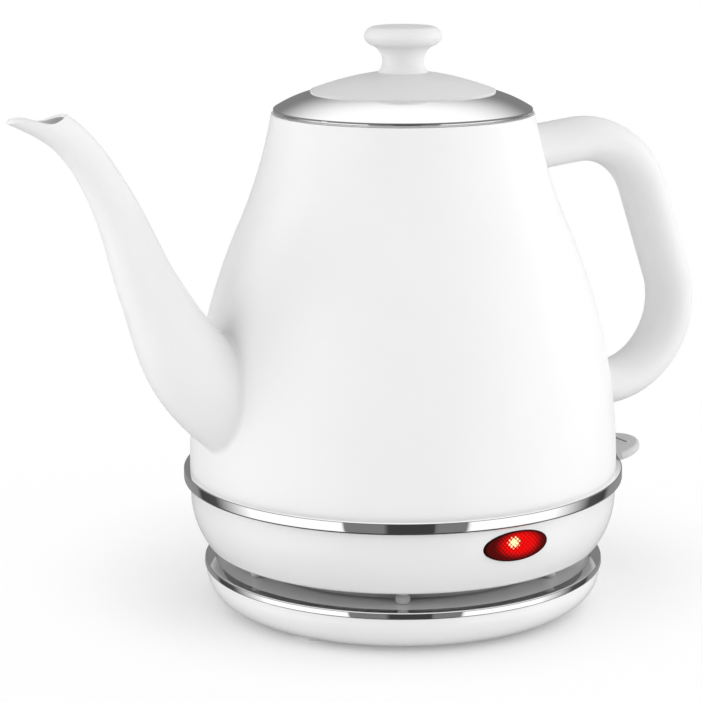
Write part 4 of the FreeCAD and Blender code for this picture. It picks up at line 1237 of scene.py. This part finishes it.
@dataclass
class Studio:
    """Floor, mirrored room, lights, world and camera at the photograph's place. Lengths in metres.

    The room's heights are angles in degrees, and its bands are (angle, grey) pairs round the kettle.
    A fade of the floor is a span of distances, and its shares of white at the two ends.
    """

    camera_place: Spot = (-0.394425, -0.683164, 0.26023)
    camera_pitch: float = 12.395
    camera_turn: float = -30.0
    lens: float = 121.77
    sensor: float = 36.0
    shift: float = -0.0741
    floor_size: float = 12.0
    floor_grey: float = 0.90
    floor_roughness: float = 0.6
    shade_middle: Spot = (0.02, 0.0346, 0.0)
    fades: tuple[tuple[Point, Point], ...] = (((0.07, 0.14), (0.05, 0.92)), ((0.12, 0.3), (0.0, 0.08)))
    dome_radius: float = 4.0
    dome_mesh: tuple[int, int] = (48, 24)
    ceiling: Point = (18.0, 58.0)
    horizon: Point = (-9.0, 2.0)
    underside: Point = (-40.0, -26.0)
    under_grey: float = 0.05
    shine: float = 1.08
    daylight: float = 0.70
    bands_low: tuple[Point, ...] = (
        (-180, 0.30), (-134, 0.24), (-128, 0.05), (-112, 0.07), (-88, 0.85), (-84, 1.0), (-31, 1.0),
        (-30, 0.18), (-9, 0.18), (-8, 0.045), (16, 0.045), (17, 0.18), (33, 0.18), (34, 1.0), (84, 1.0),
        (88, 0.85), (112, 0.07), (128, 0.05), (134, 0.24), (180, 0.30))
    bands_high: tuple[Point, ...] = (
        (-180, 0.20), (-112, 0.22), (-84, 0.2), (-31, 0.16), (-8, 0.1), (16, 0.1), (34, 0.16), (84, 0.2),
        (112, 0.22), (180, 0.20))
    lamp_aim: Spot = (0.0, 0.0, 0.1)
    lamp_list: tuple[tuple[str, Spot, Point, float], ...] = (
        ("soft_left", (-1.67, -0.3, 0.3), (1.0, 1.2), 9.8),
        ("soft_right", (0.85, -1.47, 0.3), (1.0, 1.2), 13.5),
        ("soft_side", (1.67, -0.3, 0.3), (1.0, 1.2), 13.5),
        ("soft_rear", (1.5, 0.9, 0.6), (1.0, 1.2), 7.5),
        ("soft_back", (-1.45, 0.85, 0.4), (1.0, 1.2), 9.0),
        ("soft_top", (0.0, 0.1, 1.8), (1.6, 1.6), 2.0))

    def build(self) -> None:
        """Builds the whole studio."""
        self.floor()
        self.dome()
        self.world()
        self.lamps()
        self.camera()
        bpy.context.scene.view_settings.view_transform = "Standard"

    def floor(self) -> None:
        """A pale floor that keeps the shadow, turns white with distance and is clear from below."""
        deselect()
        bpy.ops.mesh.primitive_plane_add(size=self.floor_size)
        piece = begin("studio_floor")
        material, net, shader = fresh("floor_white")
        net.feed(shader, {"Base Color": (*grey(self.floor_grey), 1.0), "Roughness": self.floor_roughness})
        glow = net.add("Emission").outputs[0]
        path = net.add("LightPath").outputs
        seen = net.math("MAXIMUM", path["Is Camera Ray"], path["Is Transmission Ray"])
        far = net.add("VectorMath", {0: net.place(), 1: self.shade_middle}, operation="DISTANCE")
        white = net.math("ADD", *(net.between(far.outputs["Value"], *fade) for fade in self.fades))
        above = net.blend(net.math("MULTIPLY", seen, white), shader.outputs[0], glow)
        clear = net.add("BsdfTransparent").outputs[0]
        surface = net.blend(net.add("NewGeometry").outputs["Backfacing"], above, clear)
        net.feed(net.tree.nodes["Material Output"], {"Surface": surface})
        piece.data.materials.append(material)
        piece.visible_glossy = False

    def dome(self) -> None:
        """The room that bright pieces mirror: soft boxes, dark gaps and a white ceiling."""
        deselect()
        segments, rings = self.dome_mesh
        bpy.ops.mesh.primitive_uv_sphere_add(segments=segments, ring_count=rings, radius=self.dome_radius)
        piece = begin("studio_dome")
        material, net, shader = fresh("mirrored_room")
        net.tree.nodes.remove(shader)
        facing = (0.0, 0.0, math.radians(90.0 - self.camera_turn))
        place = net.add("Mapping", {"Vector": net.place(), "Rotation": facing}).outputs[0]
        across, along, up = net.split(place)
        share = net.math("ADD", net.math("DIVIDE", net.math("ARCTAN2", along, across), FULL_TURN), 0.5)
        rise = net.math("DIVIDE", up, self.dome_radius)
        above, overhead, under = (
            net.between(rise, tuple(math.sin(math.radians(angle)) for angle in span))
            for span in (self.horizon, self.ceiling, self.underside))
        level = net.lerp(net.ramp(share, self.bands_low), net.ramp(share, self.bands_high), above)
        level = net.lerp(self.under_grey, net.lerp(level, 1.0, overhead), under)
        glow = net.add("Emission", {"Strength": net.math("MULTIPLY", level, self.shine)})
        net.feed(net.tree.nodes["Material Output"], {"Surface": glow.outputs[0]})
        piece.data.materials.append(material)
        for way in ("camera", "diffuse", "transmission", "volume_scatter", "shadow"):
            setattr(piece, f"visible_{way}", False)

    def world(self) -> None:
        """White where it is seen, plain light elsewhere."""
        world = bpy.data.worlds.new("studio_world")
        bpy.context.scene.world = world
        world.use_nodes = True
        net = Net(world.node_tree)
        seen = net.tree.nodes["Background"]
        net.feed(seen, {"Color": WHITE})
        light = net.add("Background", {"Color": WHITE, "Strength": self.daylight})
        path = net.add("LightPath").outputs
        mask = net.math("MAXIMUM", path["Is Camera Ray"], path["Is Glossy Ray"])
        mask = net.math("MAXIMUM", mask, path["Is Transmission Ray"])
        surface = net.blend(mask, light.outputs[0], seen.outputs[0])
        net.feed(net.tree.nodes["World Output"], {"Surface": surface})

    def lamps(self) -> None:
        """Soft boxes round the kettle and overhead."""
        for name, place, size, power in self.lamp_list:
            light = bpy.data.lights.new(name, "AREA")
            light.shape = "RECTANGLE"
            light.size, light.size_y = size
            light.energy = power
            lamp = bpy.data.objects.new(name, light)
            bpy.context.scene.collection.objects.link(lamp)
            lamp.location = place
            aim = Vector(self.lamp_aim) - Vector(place)
            lamp.rotation_euler = aim.to_track_quat("-Z", "Y").to_euler()
            lamp.visible_glossy = False

    def camera(self) -> None:
        """The camera of the photograph."""
        data = bpy.data.cameras.new("photo_camera")
        data.lens = self.lens
        data.sensor_width = self.sensor
        data.shift_x = self.shift
        camera = bpy.data.objects.new("photo_camera", data)
        bpy.context.scene.collection.objects.link(camera)
        camera.location = self.camera_place
        camera.rotation_euler = (math.radians(90.0 - self.camera_pitch), 0.0, math.radians(self.camera_turn))
        bpy.context.scene.camera = camera


def dress_nodes() -> None:
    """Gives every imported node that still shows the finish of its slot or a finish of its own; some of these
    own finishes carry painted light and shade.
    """
    for entry in frame["record"]["subparts"]:
        node = frame["nodes"][entry["node"]]
        finish = NODE_FINISHES_AND_PAINTED_LIGHT.get(entry["node"], FINISHES[entry["material_slot"]])
        for place in node.material_slots:
            place.material = finish.material()
        log.info("%s wears %s", entry["node"], finish.name)


def screw_sets() -> list[Screws]:
    """The visible screws at their packed places, in millimetres.

    Returns:
        One set for each kind.
    """
    thirds = (26.0, 146.0, 266.0)
    return [
        Screws("base_screws", Body.BASE, head=(3.0, 1.2), shank=(1.2, 6.86),
               spots=around(circle=51.0, degrees=thirds, height=1.6)),
        Screws("cover_screws", Body.KETTLE, head=(2.5, 1.2), shank=(1.2, 2.2),
               spots=around(circle=58.5, degrees=thirds, height=21.8)),
        Screws("handle_screws", Body.KETTLE, head=(2.85, 0.96), shank=(1.5, 6.6),
               spots=[(55.25, 0.0, 145.88), (81.9, 0.0, 58.97)]),
        Screws("knob_screw", Body.LID, head=(3.0, 1.6), shank=(1.5, 32.08), spots=[(0.0, 0.0, 153.5)]),
    ]


def main() -> None:
    """Builds every assembly in order, then the studio."""
    dress_nodes()
    for assembly in (Spout(), ChromeRings(), Indicator(), SwitchMark(), Feet(), LidSeal(), *screw_sets()):
        for piece in assembly.build():
            log.info("%s: %d faces", piece.name, len(piece.data.polygons))
    Studio().build()


if __name__ == "__main__":
    main()
